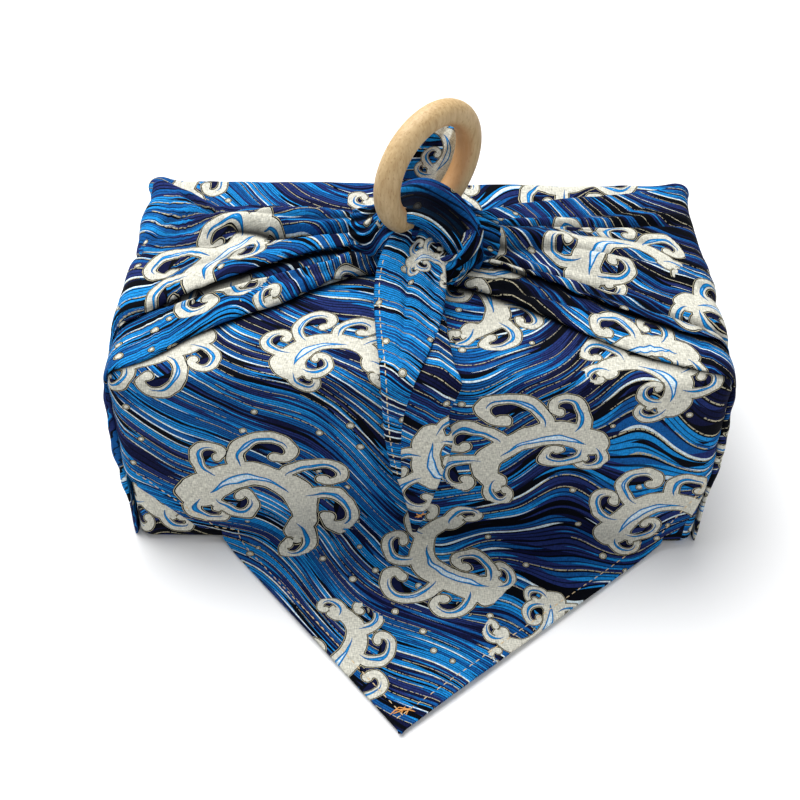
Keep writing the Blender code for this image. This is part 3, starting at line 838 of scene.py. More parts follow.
def on_arm_base(side, at, y, height):
    """Points above the line that climbs the side wall and runs in over the top."""
    quarter = EDGE_RADIUS * math.pi / 4
    turn = np.clip((at + quarter) / EDGE_RADIUS, 0, math.pi / 2)
    x = WIDTH / 2 - EDGE_RADIUS - np.maximum(at - quarter, 0)
    z = HEIGHT - EDGE_RADIUS + np.minimum(at + quarter, 0)
    reach = EDGE_RADIUS + height
    return np.stack([side * (x + reach * np.cos(turn)), y, z + reach * np.sin(turn)], axis=-1)


def arm_profiles(row):
    """(y, height, layer) across each section, from its toe over the fold to its heel."""
    toe, fold, groove, crest = (row[name] for name in ("toe", "fold", "groove", "crest"))
    low, mid, dip, top, back = (row[name] for name in
                                ("band_h", "fold_h", "groove_h", "crest_h", "shelf_h"))
    over = LIP * 1.2
    pairs = [
        (toe + 4.0, -0.6 + 0 * toe),
        (toe - 0.2 * LIP, -0.4 + 0.1 * low),
        (toe - LIP, 0.5 * low),
        (toe + 0.3 * (fold - toe), low),
        (fold - 1.0, low * 0.86),
        (fold + over, 0.66 * low),
        (fold + over * 0.3, 0.5 * low + 0.35 * mid),
        (fold - over * 0.9, 0.4 * low + 0.6 * mid),
        (fold + 0.18 * (groove - fold), mid),
        (fold + 0.65 * (groove - fold), 0.5 * (mid + dip)),
        (groove, dip),
        (groove + 0.45 * (crest - groove), 0.35 * dip + 0.65 * top),
        (crest, top),
        (row["shelf"], back),
        (row["heel"] - 2.0, 0.95 * back),
        (row["heel"] + 0.3, 0.6 * back),
        (row["heel"], -0.8 + 0 * toe),
    ]
    layers = np.array([0] * 6 + [1] * 10)
    pairs = [np.stack([*pair, layer + 0 * toe], axis=-1) for pair, layer in zip(pairs, layers)]
    return smooth_rows(np.stack(pairs, axis=-2), 9)


def creased(height, painted_shade, at, y, creases):
    """An arm's heights and its painted shade, with its creases pressed in and shaded."""
    for start, end, y_start, y_end, rise, wide in creases:
        share = np.clip((at - start) / (end - start), 0, 1)
        fade = blend(0, 0.18, share) * (1 - blend(0.9, 1.0, share) * (end < 95))
        middle = y_start + (y_end - y_start) * share ** 0.8
        near = fade[:, None] * hump(y, middle[:, None], wide)
        height = height + rise * near
        depth = -rise / CREASE_DEPTH * (1 + 0.9 * blend(62, 98, at))[:, None]
        painted_shade = np.maximum(painted_shade, near ** 1.5 * np.clip(depth, 0, 1))
    return height, painted_shade


def arm_piece(name, side, table, creases, origin, turn):
    """One corner of the cloth drawn up a side wall and gathered in to the knot."""
    rows = smooth_rows(table, 8)
    at = np.arange(rows[0, 0], rows[-1, 0], ARM_STEP)
    row = {label: np.interp(at, rows[:, 0], rows[:, place])
           for place, label in enumerate(ARM_COLUMNS)}
    across = np.stack([respaced(profile, ARM_POINTS, measured=slice(0, 2))
                       for profile in arm_profiles(row)])
    y, height, layer = np.moveaxis(across, -1, 0)
    # painted shade on the lower layer just under the fold's edge
    short = np.maximum((row["fold"] - LIP)[:, None] - y, 0)
    painted_shade = np.clip(1 - layer, 0, 1) * hump(short, 0, FOLD_SHADE)
    height, painted_shade = creased(height, painted_shade, at, y, creases)
    down = at[:, None]
    shape = blend(0, 0.6, height)
    rise, size = ARM_CREPE
    height = height + rise * ripple(down, y, size, 21 + side) * blend(0, 4, height)
    middle, below, above = BULGE_REACH
    bulge = (ARM_BULGE * hump(down, middle, np.where(down < middle, below, above))
             * blend(14, -46, y))
    rise, size = ARM_CRUMPLE
    crumple = rise * ripple(down, y, size, 51 + side) * blend(-4, -16, down) * blend(10, -40, y)
    rise, size = ARM_SLACK
    slack = rise * ripple(down, y, size, 61 + side) * blend(10, -10, down)
    rise, at_middle, along, y_middle, wide = ARM_DOME
    dome = rise * np.exp(-((down - at_middle) / along) ** 2 - ((y - y_middle) / wide) ** 2)
    height = height + shape * (bulge + crumple + slack + dome)
    height = height + blend(-6, 4, down) * back_lift(WIDTH / 2 - down, y)
    points = on_arm_base(side, down, y, height)
    v = np.stack([lengths_along(profile[:, :2]) for profile in across])
    flat = in_flat(side * -down, v - v[:, FOLD_POINT, None], origin, turn)
    made = cloth_piece(name, points, flat, flip=side < 0, thick=False, painted_shade=painted_shade)


# ---- knot and tails

def band_piece(name, table, pleats, origin, turn, count, steps=()):
    """A rounded gathered band of cloth round the knot, pleated along its length.

    steps are folds that lie over the cloth beside them: place, rise and reach, with
    a reach below zero for a fold that runs the other way.
    """
    rows = respaced(smooth_rows(table, 8), count, measured=slice(0, 3))
    line = rows[:, :3]
    along = unit(np.gradient(line, axis=0))
    outward = line - np.array(KNOT_CENTRE)
    outward -= along * (outward * along).sum(axis=1, keepdims=True)
    outward = unit(outward)
    across = np.cross(along, outward)
    turns = np.linspace(0, 2 * math.pi, GIRTH_POINTS, endpoint=False)
    run = lengths_along(line)
    groove = np.zeros((len(run), len(turns)))
    swing, length = PLEAT_SWAY
    for place, depth, wide in pleats:
        gap = turns[None, :] - place - swing * np.sin(run / length + place)[:, None]
        gap = np.angle(np.exp(1j * gap))
        groove -= depth * hump(gap, 0, wide)
    swing, length = STEP_SWAY
    for place, rise, reach in steps:
        gap = turns[None, :] - place - swing * np.sin(run / length + 2 * place)[:, None]
        gap = np.angle(np.exp(1j * gap)) * np.sign(reach)
        groove += rise * blend(-0.05, 0.05, gap) * np.exp(-np.maximum(gap, 0) / abs(reach))
    wide = rows[:, 3, None] * np.cos(turns)
    high = rows[:, 4, None] * np.sin(turns) + groove
    points = line[:, None] + across[:, None] * wide[..., None] + outward[:, None] * high[..., None]
    girth = (turns - math.pi / 2) * (rows[:, 3, None] + rows[:, 4, None]) / 2
    flat = in_flat(run[:, None], girth, origin, turn)
    # the pleats' grooves get painted shade, fuller where they sink deeper
    return cloth_piece(name, points, flat, wrap=True, thick=False, painted_shade=-groove / PLEAT_DEPTH)


def tail_points(table, ridge, seed):
    """A tail's layer: a strip along its middle line, arched across."""
    rows = respaced(smooth_rows(table, 10), TAIL_POINTS[0], measured=slice(0, 2))
    y, z, left, right, arch = rows.T
    line = np.stack([0 * y, y, z], axis=1)
    along = unit(np.gradient(line, axis=0))
    outward = np.stack([0 * y, along[:, 2], -along[:, 1]], axis=1)
    share = np.linspace(0, 1, TAIL_POINTS[1])
    inside = 1 - (2 * share - 1) ** 2
    run = lengths_along(line)[:, None]
    x = left[:, None] + (right - left)[:, None] * share
    rise = arch[:, None] * (np.sqrt(inside) * 0.6 + 0.4 * inside)
    for middle, height, wide, fade in ridge:
        rise = rise + (height * hump(share, middle, wide)
                       * hump(run, 0, fade))
    rise = rise + TAIL_CREPE[0] * ripple(x, run, TAIL_CREPE[1], seed)
    points = line[:, None] + outward[:, None] * rise[..., None]
    points[..., 0] += x
    return points, run, x


# ---- shader wiring

def math_method(operation, swapped=False):
    """A method that adds one Math node to its value's tree."""
    def method(self, *others):
        values = (*others, self) if swapped else (self, *others)
        return self.wire.math(operation, *values)
    return method


class Value:
    """A node's output. Arithmetic on it adds Math nodes."""

    def __init__(self, wire, socket):
        self.wire = wire
        self.socket = socket

    __add__, __mul__ = math_method("ADD"), math_method("MULTIPLY")
    __sub__, __rsub__ = math_method("SUBTRACT"), math_method("SUBTRACT", swapped=True)
    __truediv__, __rtruediv__ = math_method("DIVIDE"), math_method("DIVIDE", swapped=True)
    __lt__, __gt__ = math_method("LESS_THAN"), math_method("GREATER_THAN")
    __pow__, __abs__ = math_method("POWER"), math_method("ABSOLUTE")
    floor, fract, exp = math_method("FLOOR"), math_method("FRACT"), math_method("EXPONENT")
    least, most = math_method("MINIMUM"), math_method("MAXIMUM")
    scaled = math_method("MULTIPLY_ADD")     # times the first value, plus the second


class Wiring:
    """Short calls for wiring shader nodes in one tree."""

    def __init__(self, tree):
        self.tree = tree

    def node(self, kind, **settings):
        """A new node with its settings."""
        made = self.tree.nodes.new(kind)
        for name, value in settings.items():
            setattr(made, name, value)
        place = len(self.tree.nodes)
        made.location = (190 * (place // 7), -170 * (place % 7))
        return made

    def feed(self, sockets, values):
        """Link each named value to its socket, or set the socket's own value."""
        for name, value in values.items():
            if isinstance(value, Value):
                self.tree.links.new(value.socket, sockets[name])
            else:
                sockets[name].default_value = value

    def named(self, sockets):
        """A node's outputs by name."""
        return {socket.name: Value(self, socket) for socket in sockets}

    def value(self, kind, inputs=None, output=0, **settings):
        """One output of a new node, with its inputs fed."""
        made = self.node(kind, **settings)
        self.feed(made.inputs, inputs or {})
        return Value(self, made.outputs[output])

    def math(self, operation, *values):
        """A Math node's output."""
        return self.value("ShaderNodeMath", dict(enumerate(values)), operation=operation)

    def vector(self, operation, *values, scale=None):
        """A Vector Math node's output."""
        inputs = dict(enumerate(values))
        if scale is not None:
            inputs["Scale"] = scale
        output = "Value" if operation in ("LENGTH", "DISTANCE") else "Vector"
        return self.value("ShaderNodeVectorMath", inputs, output, operation=operation)

    def split(self, vector):
        """A vector's x, y and z."""
        made = self.node("ShaderNodeSeparateXYZ")
        self.feed(made.inputs, {0: vector})
        return [Value(self, socket) for socket in made.outputs]

    def mix(self, share, first, second, blend_type="MIX"):
        """A colour between two, or one laid over another."""
        return self.value("ShaderNodeMix", {"Factor": share, "A": first, "B": second},
                          "Result", data_type="RGBA", blend_type=blend_type)

    def laid(self, colour, distance, rings):
        """The colour with (limit, tint) rings over it, each where the distance is less."""
        for limit, tint in rings:
            colour = self.mix(distance < limit, colour, tint)
        return colour

    def noise(self, vector, scale, detail=1.0, kind="3D", output="Fac"):
        """A Noise node's value or colour."""
        return self.value("ShaderNodeTexNoise",
                          {"Vector": vector, "Scale": scale, "Detail": detail},
                          output, noise_dimensions=kind)

    def bump(self, height, distance, strength):
        """A Bump node's normal."""
        return self.value("ShaderNodeBump",
                          {"Strength": strength, "Distance": distance, "Height": height})

    def place(self, vector, location, turn, scale=(1, 1, 1)):
        """Coordinates about a place, turned about Z and mirrored or scaled."""
        return self.value("ShaderNodeMapping",
                          {"Vector": vector, "Location": location, "Rotation": (0, 0, turn),
                           "Scale": scale}, vector_type="TEXTURE")

    def where(self):
        """The object's own coordinates."""
        return self.value("ShaderNodeTexCoord", output="Object")

    def field(self, name):
        """A vector that the mesh carries at its points."""
        return self.value("ShaderNodeAttribute", output="Vector", attribute_name=name)

    def group(self, tree, **values):
        """A node group's outputs by name, with its inputs fed."""
        made = self.node("ShaderNodeGroup", node_tree=tree)
        self.feed(made.inputs, values)
        return self.named(made.outputs)


FLOAT, VECTOR, COLOUR = "NodeSocketFloat", "NodeSocketVector", "NodeSocketColor"


def new_group(name, inputs, outputs):
    """A shader node group: its tree, wiring, given values and the sockets it puts out."""
    tree = bpy.data.node_groups.new(name, "ShaderNodeTree")
    for sockets, in_out in ((inputs, "INPUT"), (outputs, "OUTPUT")):
        for label, kind in sockets.items():
            tree.interface.new_socket(label, in_out=in_out, socket_type=kind)
    wire = Wiring(tree)
    given = wire.named(wire.node("NodeGroupInput").outputs)
    return tree, wire, given, wire.node("NodeGroupOutput").inputs


def curl_group():
    """Distances, in millimetres, to one tapering curl of foam, its stroke and its hollow."""
    tree, wire, given, out = new_group(
        "Foam curl",
        {"At": VECTOR, "Ball": VECTOR, "Radius": FLOAT, "Limb": FLOAT, "Span": FLOAT},
        {"Edge": FLOAT, "Stroke": FLOAT, "Hollow": FLOAT, "Front": FLOAT})
    limb, span = given["Limb"], given["Span"]
    x, y, _ = wire.split(given["At"])
    radius = wire.vector("LENGTH", given["At"])
    turn = wire.math("ARCTAN2", y, x).scaled(0.5 / math.pi, 0.5)
    share = turn / span
    away = radius - (turn * -CURL_TIGHTNESS).exp() * given["Radius"]
    past = (turn - span) * (radius * (2 * math.pi))
    ball = limb.scaled(-CURL_BALL, wire.vector("DISTANCE", given["At"], given["Ball"]))
    edge = (abs(away) - limb * share.scaled(-CURL_TAPER, 1.0)).most(past).least(ball)
    full = (share * STROKE_RISE).least(1.0) * share.scaled(-STROKE_FALL, 1.0)
    stroke = (limb * full).scaled(-STROKE_HALF, abs(limb.scaled(STROKE_INWARD, away)))
    wire.feed(out, {
        "Edge": edge,
        "Front": (edge < FOAM_LINES[0]) * (turn > CURL_FRONT),
        "Stroke": stroke.most((share - STROKE_END) * STROKE_CUT),
        "Hollow": away.most((HOLLOW_START - turn) * HOLLOW_CUT)})
    return tree


def nearer(first, second, front):
    """The smaller distance, or the second one where it lies in front."""
    low = first.least(second)
    return front.scaled(second - low, low)


def foam_group():
    """Distances, in millimetres, to a cluster of foam, its strokes and its hollows."""
    curl = curl_group()
    tree, wire, given, out = new_group("Foam cluster", {"At": VECTOR, "Cloth": VECTOR},
                                       {"Edge": FLOAT, "Stroke": FLOAT, "Hollow": FLOAT})
    inside = wire.split(given["At"])[2]
    pushes = []
    for rate, push in FOAM_PUSHES:
        drift = wire.noise(given["Cloth"], rate, 0.0, "2D", "Color")
        drift = wire.vector("SUBTRACT", drift, (0.5, 0.5, 0.5))
        pushes.append(wire.vector("SCALE", drift, scale=push))
    bent = wire.vector("MULTIPLY", wire.vector("ADD", *pushes), (1, 1, 0))
    bent = wire.vector("ADD", wire.vector("MULTIPLY", given["At"], (1, 1, 0)), bent)
    edge = stroke = hollow = None
    for x, y, heading, radius, limb, span, hand in CURLS:
        turn = math.radians(heading + 90 * hand)
        centre = (x + radius * math.cos(turn), y + radius * math.sin(turn), 0)
        end = 2 * math.pi * span - math.pi
        reach = radius * BALL_INSET * math.exp(-CURL_TIGHTNESS * span)
        made = wire.group(curl, At=wire.place(bent, centre, turn, (1, hand, 1)),
                          Radius=radius, Limb=limb, Span=span,
                          Ball=(reach * math.cos(end), reach * math.sin(end), 0))
        if edge is None:
            root = wire.vector("DISTANCE", bent, (x, y, 0)) - limb * ROOT_SIZE
            edge, stroke = made["Edge"].least(root), made["Stroke"]
            continue
        front = made["Front"]
        hollow = made["Hollow"] if hollow is None else hollow.least(made["Hollow"])
        hollow = front.scaled(FRONT_CUT, hollow)
        edge, stroke = (nearer(was, made[name], front)
                        for was, name in ((edge, "Edge"), (stroke, "Stroke")))
    gone = (1.0 - inside) * CLUSTER_CUT
    wire.feed(out, {"Edge": edge + gone, "Stroke": stroke, "Hollow": hollow + gone})
    return tree


def stream_group(tints):
    """Running streams: tapering bands, fine dark lines, gold lines and white slivers."""
    tree, wire, given, out = new_group(
        "Wave streams", {"Flow": FLOAT, "Tone": FLOAT, "Cloth": VECTOR}, {"Color": COLOUR})
    phase = given["Flow"] / STREAM_PITCH
    index, part = phase.floor(), phase.fract()
    pick = wire.node("ShaderNodeTexWhiteNoise", noise_dimensions="1D")
    wire.feed(pick.inputs, {"W": index})
    pick = wire.named(pick.outputs)
    picked = wire.split(pick["Color"])
    lane = wire.value("ShaderNodeCombineXYZ", {"Z": index * LANE_STEP})
    cloth = wire.vector("MULTIPLY", given["Cloth"], (1, 1, 0))
    drift = wire.split(wire.noise(wire.vector("ADD", cloth, lane), STREAM_DRIFT, output="Color"))
    broad = wire.noise(given["Cloth"], STREAM_BROAD)
    own, shared, shift = STREAM_TONE
    tone = pick["Value"].scaled(own, broad.scaled(shared, shift)) + given["Tone"]
    tone = tone + part.scaled(*TONE_ACROSS)

    def dyed(value):
        ramp = wire.node("ShaderNodeValToRGB")
        ramp.color_ramp.interpolation = "CONSTANT"
        for place in STREAM_STOPS[2:]:
            ramp.color_ramp.elements.new(place)
        dyes = (tints.ink_and_shade, tints.navy, tints.indigo, tints.blue, tints.azure)
        for element, place, tint in zip(ramp.color_ramp.elements, STREAM_STOPS, dyes):
            element.position = place
            element.color = tint
        wire.feed(ramp.inputs, {0: value})
        return Value(wire, ramp.outputs[0])

    tongue = abs(part - TONGUE_AT) < drift[0].scaled(*TONGUE_WIDTH)
    colour = wire.mix(tongue, dyed(tone), dyed((tone + TONGUE_TONE).fract()))
    fine = (part * FINE_LINES).fract() < drift[1].scaled(FINE_WIDTH, 0.0)
    fine = fine * (picked[0] > PLAIN_STREAMS)
    colour = wire.mix(fine * FINE_DEPTH, colour, tints.ink_and_shade)
    sliver = abs(part - SLIVER_AT) < drift[0].scaled(*SLIVER_WIDTH).least(SLIVER_MOST)
    colour = wire.mix(sliver, colour, tints.white)
    colour = wire.mix(part < STREAM_EDGE, colour, tints.ink_and_shade)
    speckle = wire.noise(given["Cloth"], SPECKLE_RATE)
    gold = (part > STREAM_EDGE) * (part < GOLD_EDGE) * (picked[2] > GOLD_STREAMS)
    gold = gold * (speckle > GOLD_SPECKLE) * (drift[2] > GOLD_DRIFT)
    wire.feed(out, {"Color": wire.mix(gold, colour, tints.gold)})
    return tree


def spray_group():
    """Distance, in millimetres, to scattered drops of spray."""
    tree, wire, given, out = new_group("Spray drops", {"Cloth": VECTOR, "Spacing": FLOAT},
                                       {"Edge": FLOAT})
    cells = wire.node("ShaderNodeTexVoronoi", voronoi_dimensions="2D")
    wire.feed(cells.inputs, {"Vector": given["Cloth"], "Scale": 1.0 / given["Spacing"]})
    cells = wire.named(cells.outputs)
    chosen = wire.split(cells["Color"])
    away = cells["Distance"] * given["Spacing"] - chosen[1].scaled(*DROP_SIZE)
    rate, *crowding = DROP_CROWD
    dropped = chosen[0] > wire.noise(given["Cloth"], rate, 0.0).scaled(*crowding)
    wire.feed(out, {"Edge": dropped.scaled(DROP_CUT, away)})
    return tree


def weave_group():
    """Fine threads of a plain weave: how light and how high each lies."""
    tree, wire, given, out = new_group("Cotton weave", {"Cloth": VECTOR},
                                       {"Light": COLOUR, "Height": FLOAT})
    warp, weft = (wire.noise(wire.vector("MULTIPLY", given["Cloth"], stretch), 1.0)
                  for stretch in WEAVE_STRETCH)
    height = warp + weft
    light = height.scaled(*WEAVE_LIGHT)
    light = wire.value("ShaderNodeCombineXYZ", {"X": light, "Y": light, "Z": light})
    wire.feed(out, {"Light": light, "Height": height})
    return tree


# ---- materials

def new_material(name):
    """A material with nodes, its wiring and its shader's inputs."""
    made = bpy.data.materials.new(name)
    made.use_nodes = True
    return made, Wiring(made.node_tree), made.node_tree.nodes["Principled BSDF"].inputs


def cotton_material():
    """Printed cotton: streams, foam with outlines, spray, the weave and painted shade in creases.
    """
    made = bpy.data.materials.get(COTTON)
    if made:
        return made
    made, wire, shader = new_material(COTTON)
    tints = colours()
    cloth = wire.value("ShaderNodeUVMap", uv_map="cloth")
    cloth = wire.vector("SCALE", cloth, scale=1 / MM)
    flow, tone, painted_shade = wire.split(wire.field("flow"))
    foam = wire.group(foam_group(), At=wire.field("foam"), Cloth=cloth)
    edge = foam["Edge"]
    colour = wire.group(stream_group(tints), Flow=flow, Tone=tone, Cloth=cloth)["Color"]
    dark = wire.mix(foam["Hollow"] < -HOLLOW_RIM, tints.ink_and_shade, tints.navy)
    colour = wire.mix(foam["Hollow"] < 0.0, colour, dark)
    dyes = (tints.ink_and_shade, tints.gold, tints.ink_and_shade, tints.cream)
    spray = spray_group()
    for spacing in SPRAY_SPACINGS:
        drop = wire.group(spray, Cloth=cloth, Spacing=spacing)["Edge"]
        colour = wire.laid(colour, drop + (edge < SPRAY_CLEAR) * SPRAY_CUT, zip(SPRAY_LINES, dyes))
    colour = wire.laid(colour, edge, zip((*FOAM_LINES, 0.0), dyes))
    inner = edge < STROKE_INSET
    for limit, tint in zip(STROKE_LINES, (tints.teal, tints.azure, tints.white)):
        colour = wire.mix(inner * (foam["Stroke"] < limit), colour, tint)
    weave = wire.group(weave_group(), Cloth=cloth)
    colour = wire.mix(1.0, colour, weave["Light"], "MULTIPLY")
    # painted shade: the colour darkened towards ink in creases, pleats, under the arms and round
    # the knot
    power, depth = SHADE
    shade = painted_shade ** power * depth
    wire.feed(shader, {"Base Color": wire.mix(shade, colour, tints.ink_and_shade),
                       "Normal": wire.bump(weave["Height"], 0.0004, 0.35),
                       "Roughness": 0.82, "Specular IOR Level": 0.05})
    return made


def thread_material(name, tint):
    """Twisted sewing thread."""
    made = bpy.data.materials.get(name)
    if made:
        return made
    made, wire, shader = new_material(name)
    twist = wire.noise(wire.where(), 2600.0)
    pale = [min(1.0, 1.25 * value) for value in tint[:3]] + [1.0]
    wire.feed(shader, {"Base Color": wire.mix(twist, tint, pale),
                       "Normal": wire.bump(twist, 0.0002, 0.4), "Roughness": 0.65})
    return made


def beech_material():
    """Turned beech: fine grain, short dark flecks and a darker, warmer painted shade on its inner
    side.
    """
    made, wire, shader = new_material("Turned beech")
    tints = colours()
    centre = tuple(value * MM for value in RING_CENTRE)
    where = wire.where()
    place = wire.place(where, centre, GRAIN_TURN)
    grain = wire.noise(wire.vector("MULTIPLY", place, GRAIN_RATE), 1.0, 3.0)
    fleck = wire.noise(wire.vector("MULTIPLY", place, FLECK_RATE), 1.0)
    fleck = ((fleck - FLECK_START) * FLECK_RISE).most(0.0).least(FLECK_MOST)
    cloud = wire.noise(place, 90.0, 2.0)
    share = grain.scaled(*GRAIN_SHARE) + cloud.scaled(*CLOUD_SHARE)
    colour = wire.mix(share.most(0.0).least(GRAIN_MOST), tints.beech, tints.beech_dark)
    colour = wire.mix(fleck, colour, tints.beech_dark)
    # painted shade: darker, warmer colour on the ring's inner side, within its reach of the centre
    inner = (INNER_SHADE_REACH * MM - wire.vector("DISTANCE", where, centre)) * INNER_SHADE_RISE
    inner = inner.most(0.0).least(INNER_SHADE_MOST)
    wire.feed(shader, {"Base Color": wire.mix(inner, colour, tints.beech_inner_shade),
                       "Normal": wire.bump(grain + fleck, 0.0003, 0.3),
                       "Roughness": grain.scaled(0.25, 0.42)})
    return made


def carton_material():
    """Plain brown carton with short fibres."""
    made, wire, shader = new_material("Brown carton")
    fibre = wire.noise(wire.where(), 900.0, 4.0)
    tint = colours().carton
    dark = [0.7 * value for value in tint[:3]] + [1]
    wire.feed(shader, {"Base Color": wire.mix(fibre, tint, dark),
                       "Normal": wire.bump(fibre, 0.0002, 0.3), "Roughness": 0.9})
    return made


def floor_material():
    """A plain pale floor."""
    made, wire, shader = new_material("Pale floor")
    mottle = wire.noise(wire.where(), 3.0)
    wire.feed(shader, {"Base Color": wire.mix(mottle, *FLOOR_GREYS), "Roughness": 0.9})
    return made


# ---- operators

class WRAP_OT_walls(bpy.types.Operator):
    """Cloth on the box's walls and under it, which shows beside the flap's hems"""

    bl_idname = "wrap.walls"
    bl_label = "Walls and floor"
    bl_options = {"REGISTER", "UNDO"}

    def execute(self, context):
        points, flat = wall_points()
        walls = cloth_piece("wrap_walls", points, flat, thick=False)
        width, depth = WIDTH - 2 * EDGE_RADIUS, DEPTH - 2 * EDGE_RADIUS
        u, v = np.meshgrid(np.linspace(-1, 1, 60) * (width / 2),
                           np.linspace(-1, 1, 40) * (depth / 2))
        under = cloth_piece("wrap_floor", np.stack([u, v, 0 * u], axis=-1),
                            in_flat(u, v, FLOOR_ORIGIN), flip=True, thick=False)
        return {"FINISHED"}


class WRAP_OT_flap(bpy.types.Operator):
    """The corner of the cloth that is drawn over the box and hangs out in front, with its hems"""

    bl_idname = "wrap.flap"
    bl_label = "Front flap"
    bl_options = {"REGISTER", "UNDO"}

    def execute(self, context):
        points, flat, from_hems, climb, front, painted_shade = flap_points()
        flap = cloth_piece("flap", points, flat, flip=True, painted_shade=painted_shade)
        rows = np.flatnonzero(front & (climb < STITCHED_CLIMB))
        hem = sizes().hem / MM
        stitch_piece("flap_stitches",
                     [line_on_grid(points, side, hem, rows) for side in from_hems])
        tack_piece("flap_tack", points, FLAP_TACK, (0, 1))
        return {"FINISHED"}


class WRAP_OT_arms(bpy.types.Operator):
    """The two corners of the cloth that are gathered up the sides and in to the knot"""

    bl_idname = "wrap.arms"
    bl_label = "Gathered arms"
    bl_options = {"REGISTER", "UNDO"}

    def execute(self, context):
        arm_piece("left_arm", -1, LEFT_ARM, LEFT_CREASES, (-180, 130), 8)
        arm_piece("right_arm", 1, RIGHT_ARM, RIGHT_CREASES, (180, 140), -8)
        return {"FINISHED"}


class WRAP_OT_knot(bpy.types.Operator):
    """The knot's gathered bands"""

    bl_idname = "wrap.knot"
    bl_label = "Knot"
    bl_options = {"REGISTER", "UNDO"}

    def execute(self, context):
        root = band_piece("knot_root", KNOT_ROOT, ROOT_PLEATS, (-330, 262), 10, 60)
        lobe = band_piece("knot_lobe", KNOT_LOBE, LOBE_PLEATS, (420, 330), -20, 60)
        band = band_piece("knot_band", KNOT_BAND, BAND_PLEATS, (-420, 330), -28, 90,
                          steps=BAND_STEPS)
        return {"FINISHED"}


class WRAP_OT_tails(bpy.types.Operator):
    """The free corners of the cloth that leave the knot in front and behind"""

    bl_idname = "wrap.tails"
    bl_label = "Tails"
    bl_options = {"REGISTER", "UNDO"}

    def execute(self, context):
        points, run, x = tail_points(FRONT_UNDER, UNDER_RIDGES, 31)
        under = cloth_piece("front_tail_under", points, in_flat(run, x, (-70, 60), 80), flip=True)
        tack_at = points
        points, run, x = tail_points(FRONT_OVER, OVER_RIDGES, 33)
        over = cloth_piece("front_tail_over", points, in_flat(run, x, (-430, 372), 66), flip=True)
        tack_piece("tail_tack", tack_at, TAIL_TACK, (0, 2))
        line, inward = line_on_grid(points[:, ::-1], (x - x[:, :1])[:, ::-1], TAIL_HEM,
                                    range(TAIL_HEM_START, len(points)))
        stitch_piece("tail_stitches", [(line, -inward)])
        points, run, x = tail_points(BACK_TAIL, BACK_RIDGES, 35)
        back = cloth_piece("back_tail", points, in_flat(run, x, (-424, 96), 58))
        return {"FINISHED"}


class WRAP_OT_ring(bpy.types.Operator):
    """The turned beech ring that the knot is tied through"""

    bl_idname = "wrap.ring"
    bl_label = "Beech ring"
    bl_options = {"REGISTER", "UNDO"}

    def execute(self, context):
        axis = Vector(RING_AXIS).normalized()
        across = axis.orthogonal().normalized()
        axis, across, up = (np.array(way) for way in (axis, across, axis.cross(across)))
        round_it = np.linspace(0, 2 * math.pi, RING_STEPS[0], endpoint=False)[:, None, None]
        section = np.linspace(0, 2 * math.pi, RING_STEPS[1], endpoint=False)[None, :, None]
        outward = across * np.cos(round_it) + up * np.sin(round_it)
        worn = RING_SECTION + RING_WEAR * np.sin(3 * round_it + 1) * np.cos(section)
        points = (np.array(RING_CENTRE) + outward * (RING_RADIUS + worn * np.cos(section))
                  + axis * worn * np.sin(section))
        faces = grid_faces(*RING_STEPS, wrap_rows=True, wrap_columns=True)[:, (0, 3, 2, 1)]
        ring = new_piece("beech_ring", points, faces.tolist(), beech_material())
        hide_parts(RING_NODE)
        return {"FINISHED"}


class WRAP_OT_carton(bpy.types.Operator):
    """Carton on the box inside the cloth"""

    bl_idname = "wrap.carton"
    bl_label = "Carton box"
    bl_options = {"REGISTER", "UNDO"}

    def execute(self, context):
        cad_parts[BOX_NODE].material_slots[0].material = carton_material()
        return {"FINISHED"}


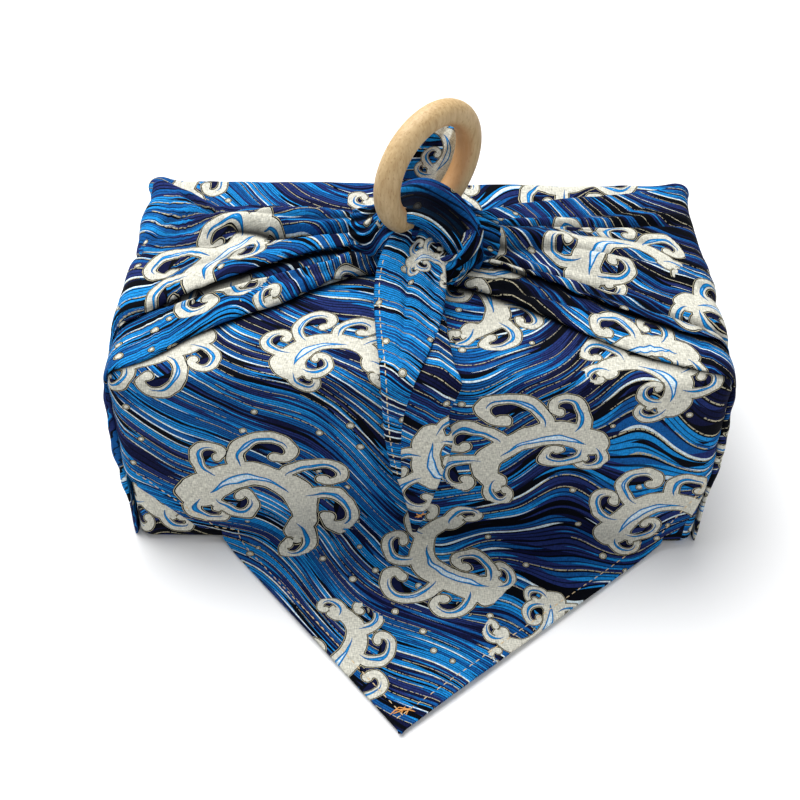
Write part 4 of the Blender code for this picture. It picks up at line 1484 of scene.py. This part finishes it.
class WRAP_OT_stage(bpy.types.Operator):
    """The pale floor, soft studio light and camera"""

    bl_idname = "wrap.stage"
    bl_label = "Stage"
    bl_options = {"REGISTER", "UNDO"}

    def execute(self, context):
        scene = context.scene

        def placed(name, data):
            made = bpy.data.objects.new(name, data)
            scene.collection.objects.link(made)
            return made

        mesh = bpy.data.meshes.new("studio_floor")
        corners = ((-1, -1), (1, -1), (1, 1), (-1, 1))
        mesh.from_pydata([(x * FLOOR_HALF, y * FLOOR_HALF, -FLOOR_DROP) for x, y in corners],
                         [], [(0, 1, 2, 3)])
        mesh.materials.append(floor_material())
        placed("studio_floor", mesh)
        scene.view_settings.view_transform = "Standard"
        world = scene.world = bpy.data.worlds.new("studio")
        world.use_nodes = True
        background = world.node_tree.nodes["Background"].inputs
        background["Color"].default_value = SKY
        background["Strength"].default_value = SKY_STRENGTH
        for name, where, size, power in LIGHTS:
            light = bpy.data.lights.new(name, "AREA")
            light.size = size
            light.energy = power
            lamp = placed(name, light)
            lamp.location = where
            aim = Vector(LIT_PLACE) - Vector(where)
            lamp.rotation_euler = aim.to_track_quat("-Z", "Y").to_euler()
        lens = bpy.data.cameras.new("camera")
        lens.lens = CAMERA_LENS
        lens.sensor_width = CAMERA_SENSOR
        camera = scene.camera = placed("camera", lens)
        camera.matrix_world = (Matrix.Translation(CAMERA_PLACE)
                               @ Matrix.Rotation(math.radians(90 - CAMERA_TILT), 4, "X")
                               @ Matrix.Rotation(math.radians(CAMERA_ROLL), 4, "Z"))
        return {"FINISHED"}


STEPS = (WRAP_OT_walls, WRAP_OT_flap, WRAP_OT_arms, WRAP_OT_knot, WRAP_OT_tails,
         WRAP_OT_ring, WRAP_OT_carton, WRAP_OT_stage)


class WRAP_PT_sidebar(bpy.types.Panel):
    """Settings and steps of the furoshiki wrap"""

    bl_idname = "WRAP_PT_sidebar"
    bl_label = "Furoshiki wrap"
    bl_space_type = "VIEW_3D"
    bl_region_type = "UI"
    bl_category = "Wrap"

    def draw(self, context):
        layout = self.layout
        for settings in (context.scene.wrap_sizes, context.scene.wrap_colours):
            column = layout.column(align=True)
            for name in settings.__annotations__:
                column.prop(settings, name)
        for step in STEPS:
            layout.operator(step.bl_idname)


CLASSES = (WrapSizes, WrapColours, *STEPS, WRAP_PT_sidebar)


def register():
    """Register the classes and their settings."""
    for made in CLASSES:
        bpy.utils.register_class(made)
    bpy.types.Scene.wrap_sizes = PointerProperty(type=WrapSizes)
    bpy.types.Scene.wrap_colours = PointerProperty(type=WrapColours)


def unregister():
    """Take the settings and classes away again."""
    del bpy.types.Scene.wrap_colours
    del bpy.types.Scene.wrap_sizes
    for made in reversed(CLASSES):
        bpy.utils.unregister_class(made)


def main():
    """Dress the wrap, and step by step."""
    register()
    for step in STEPS:
        group, name = step.bl_idname.split(".")
        getattr(getattr(bpy.ops, group), name)()


if __name__ == "__main__":
    main()
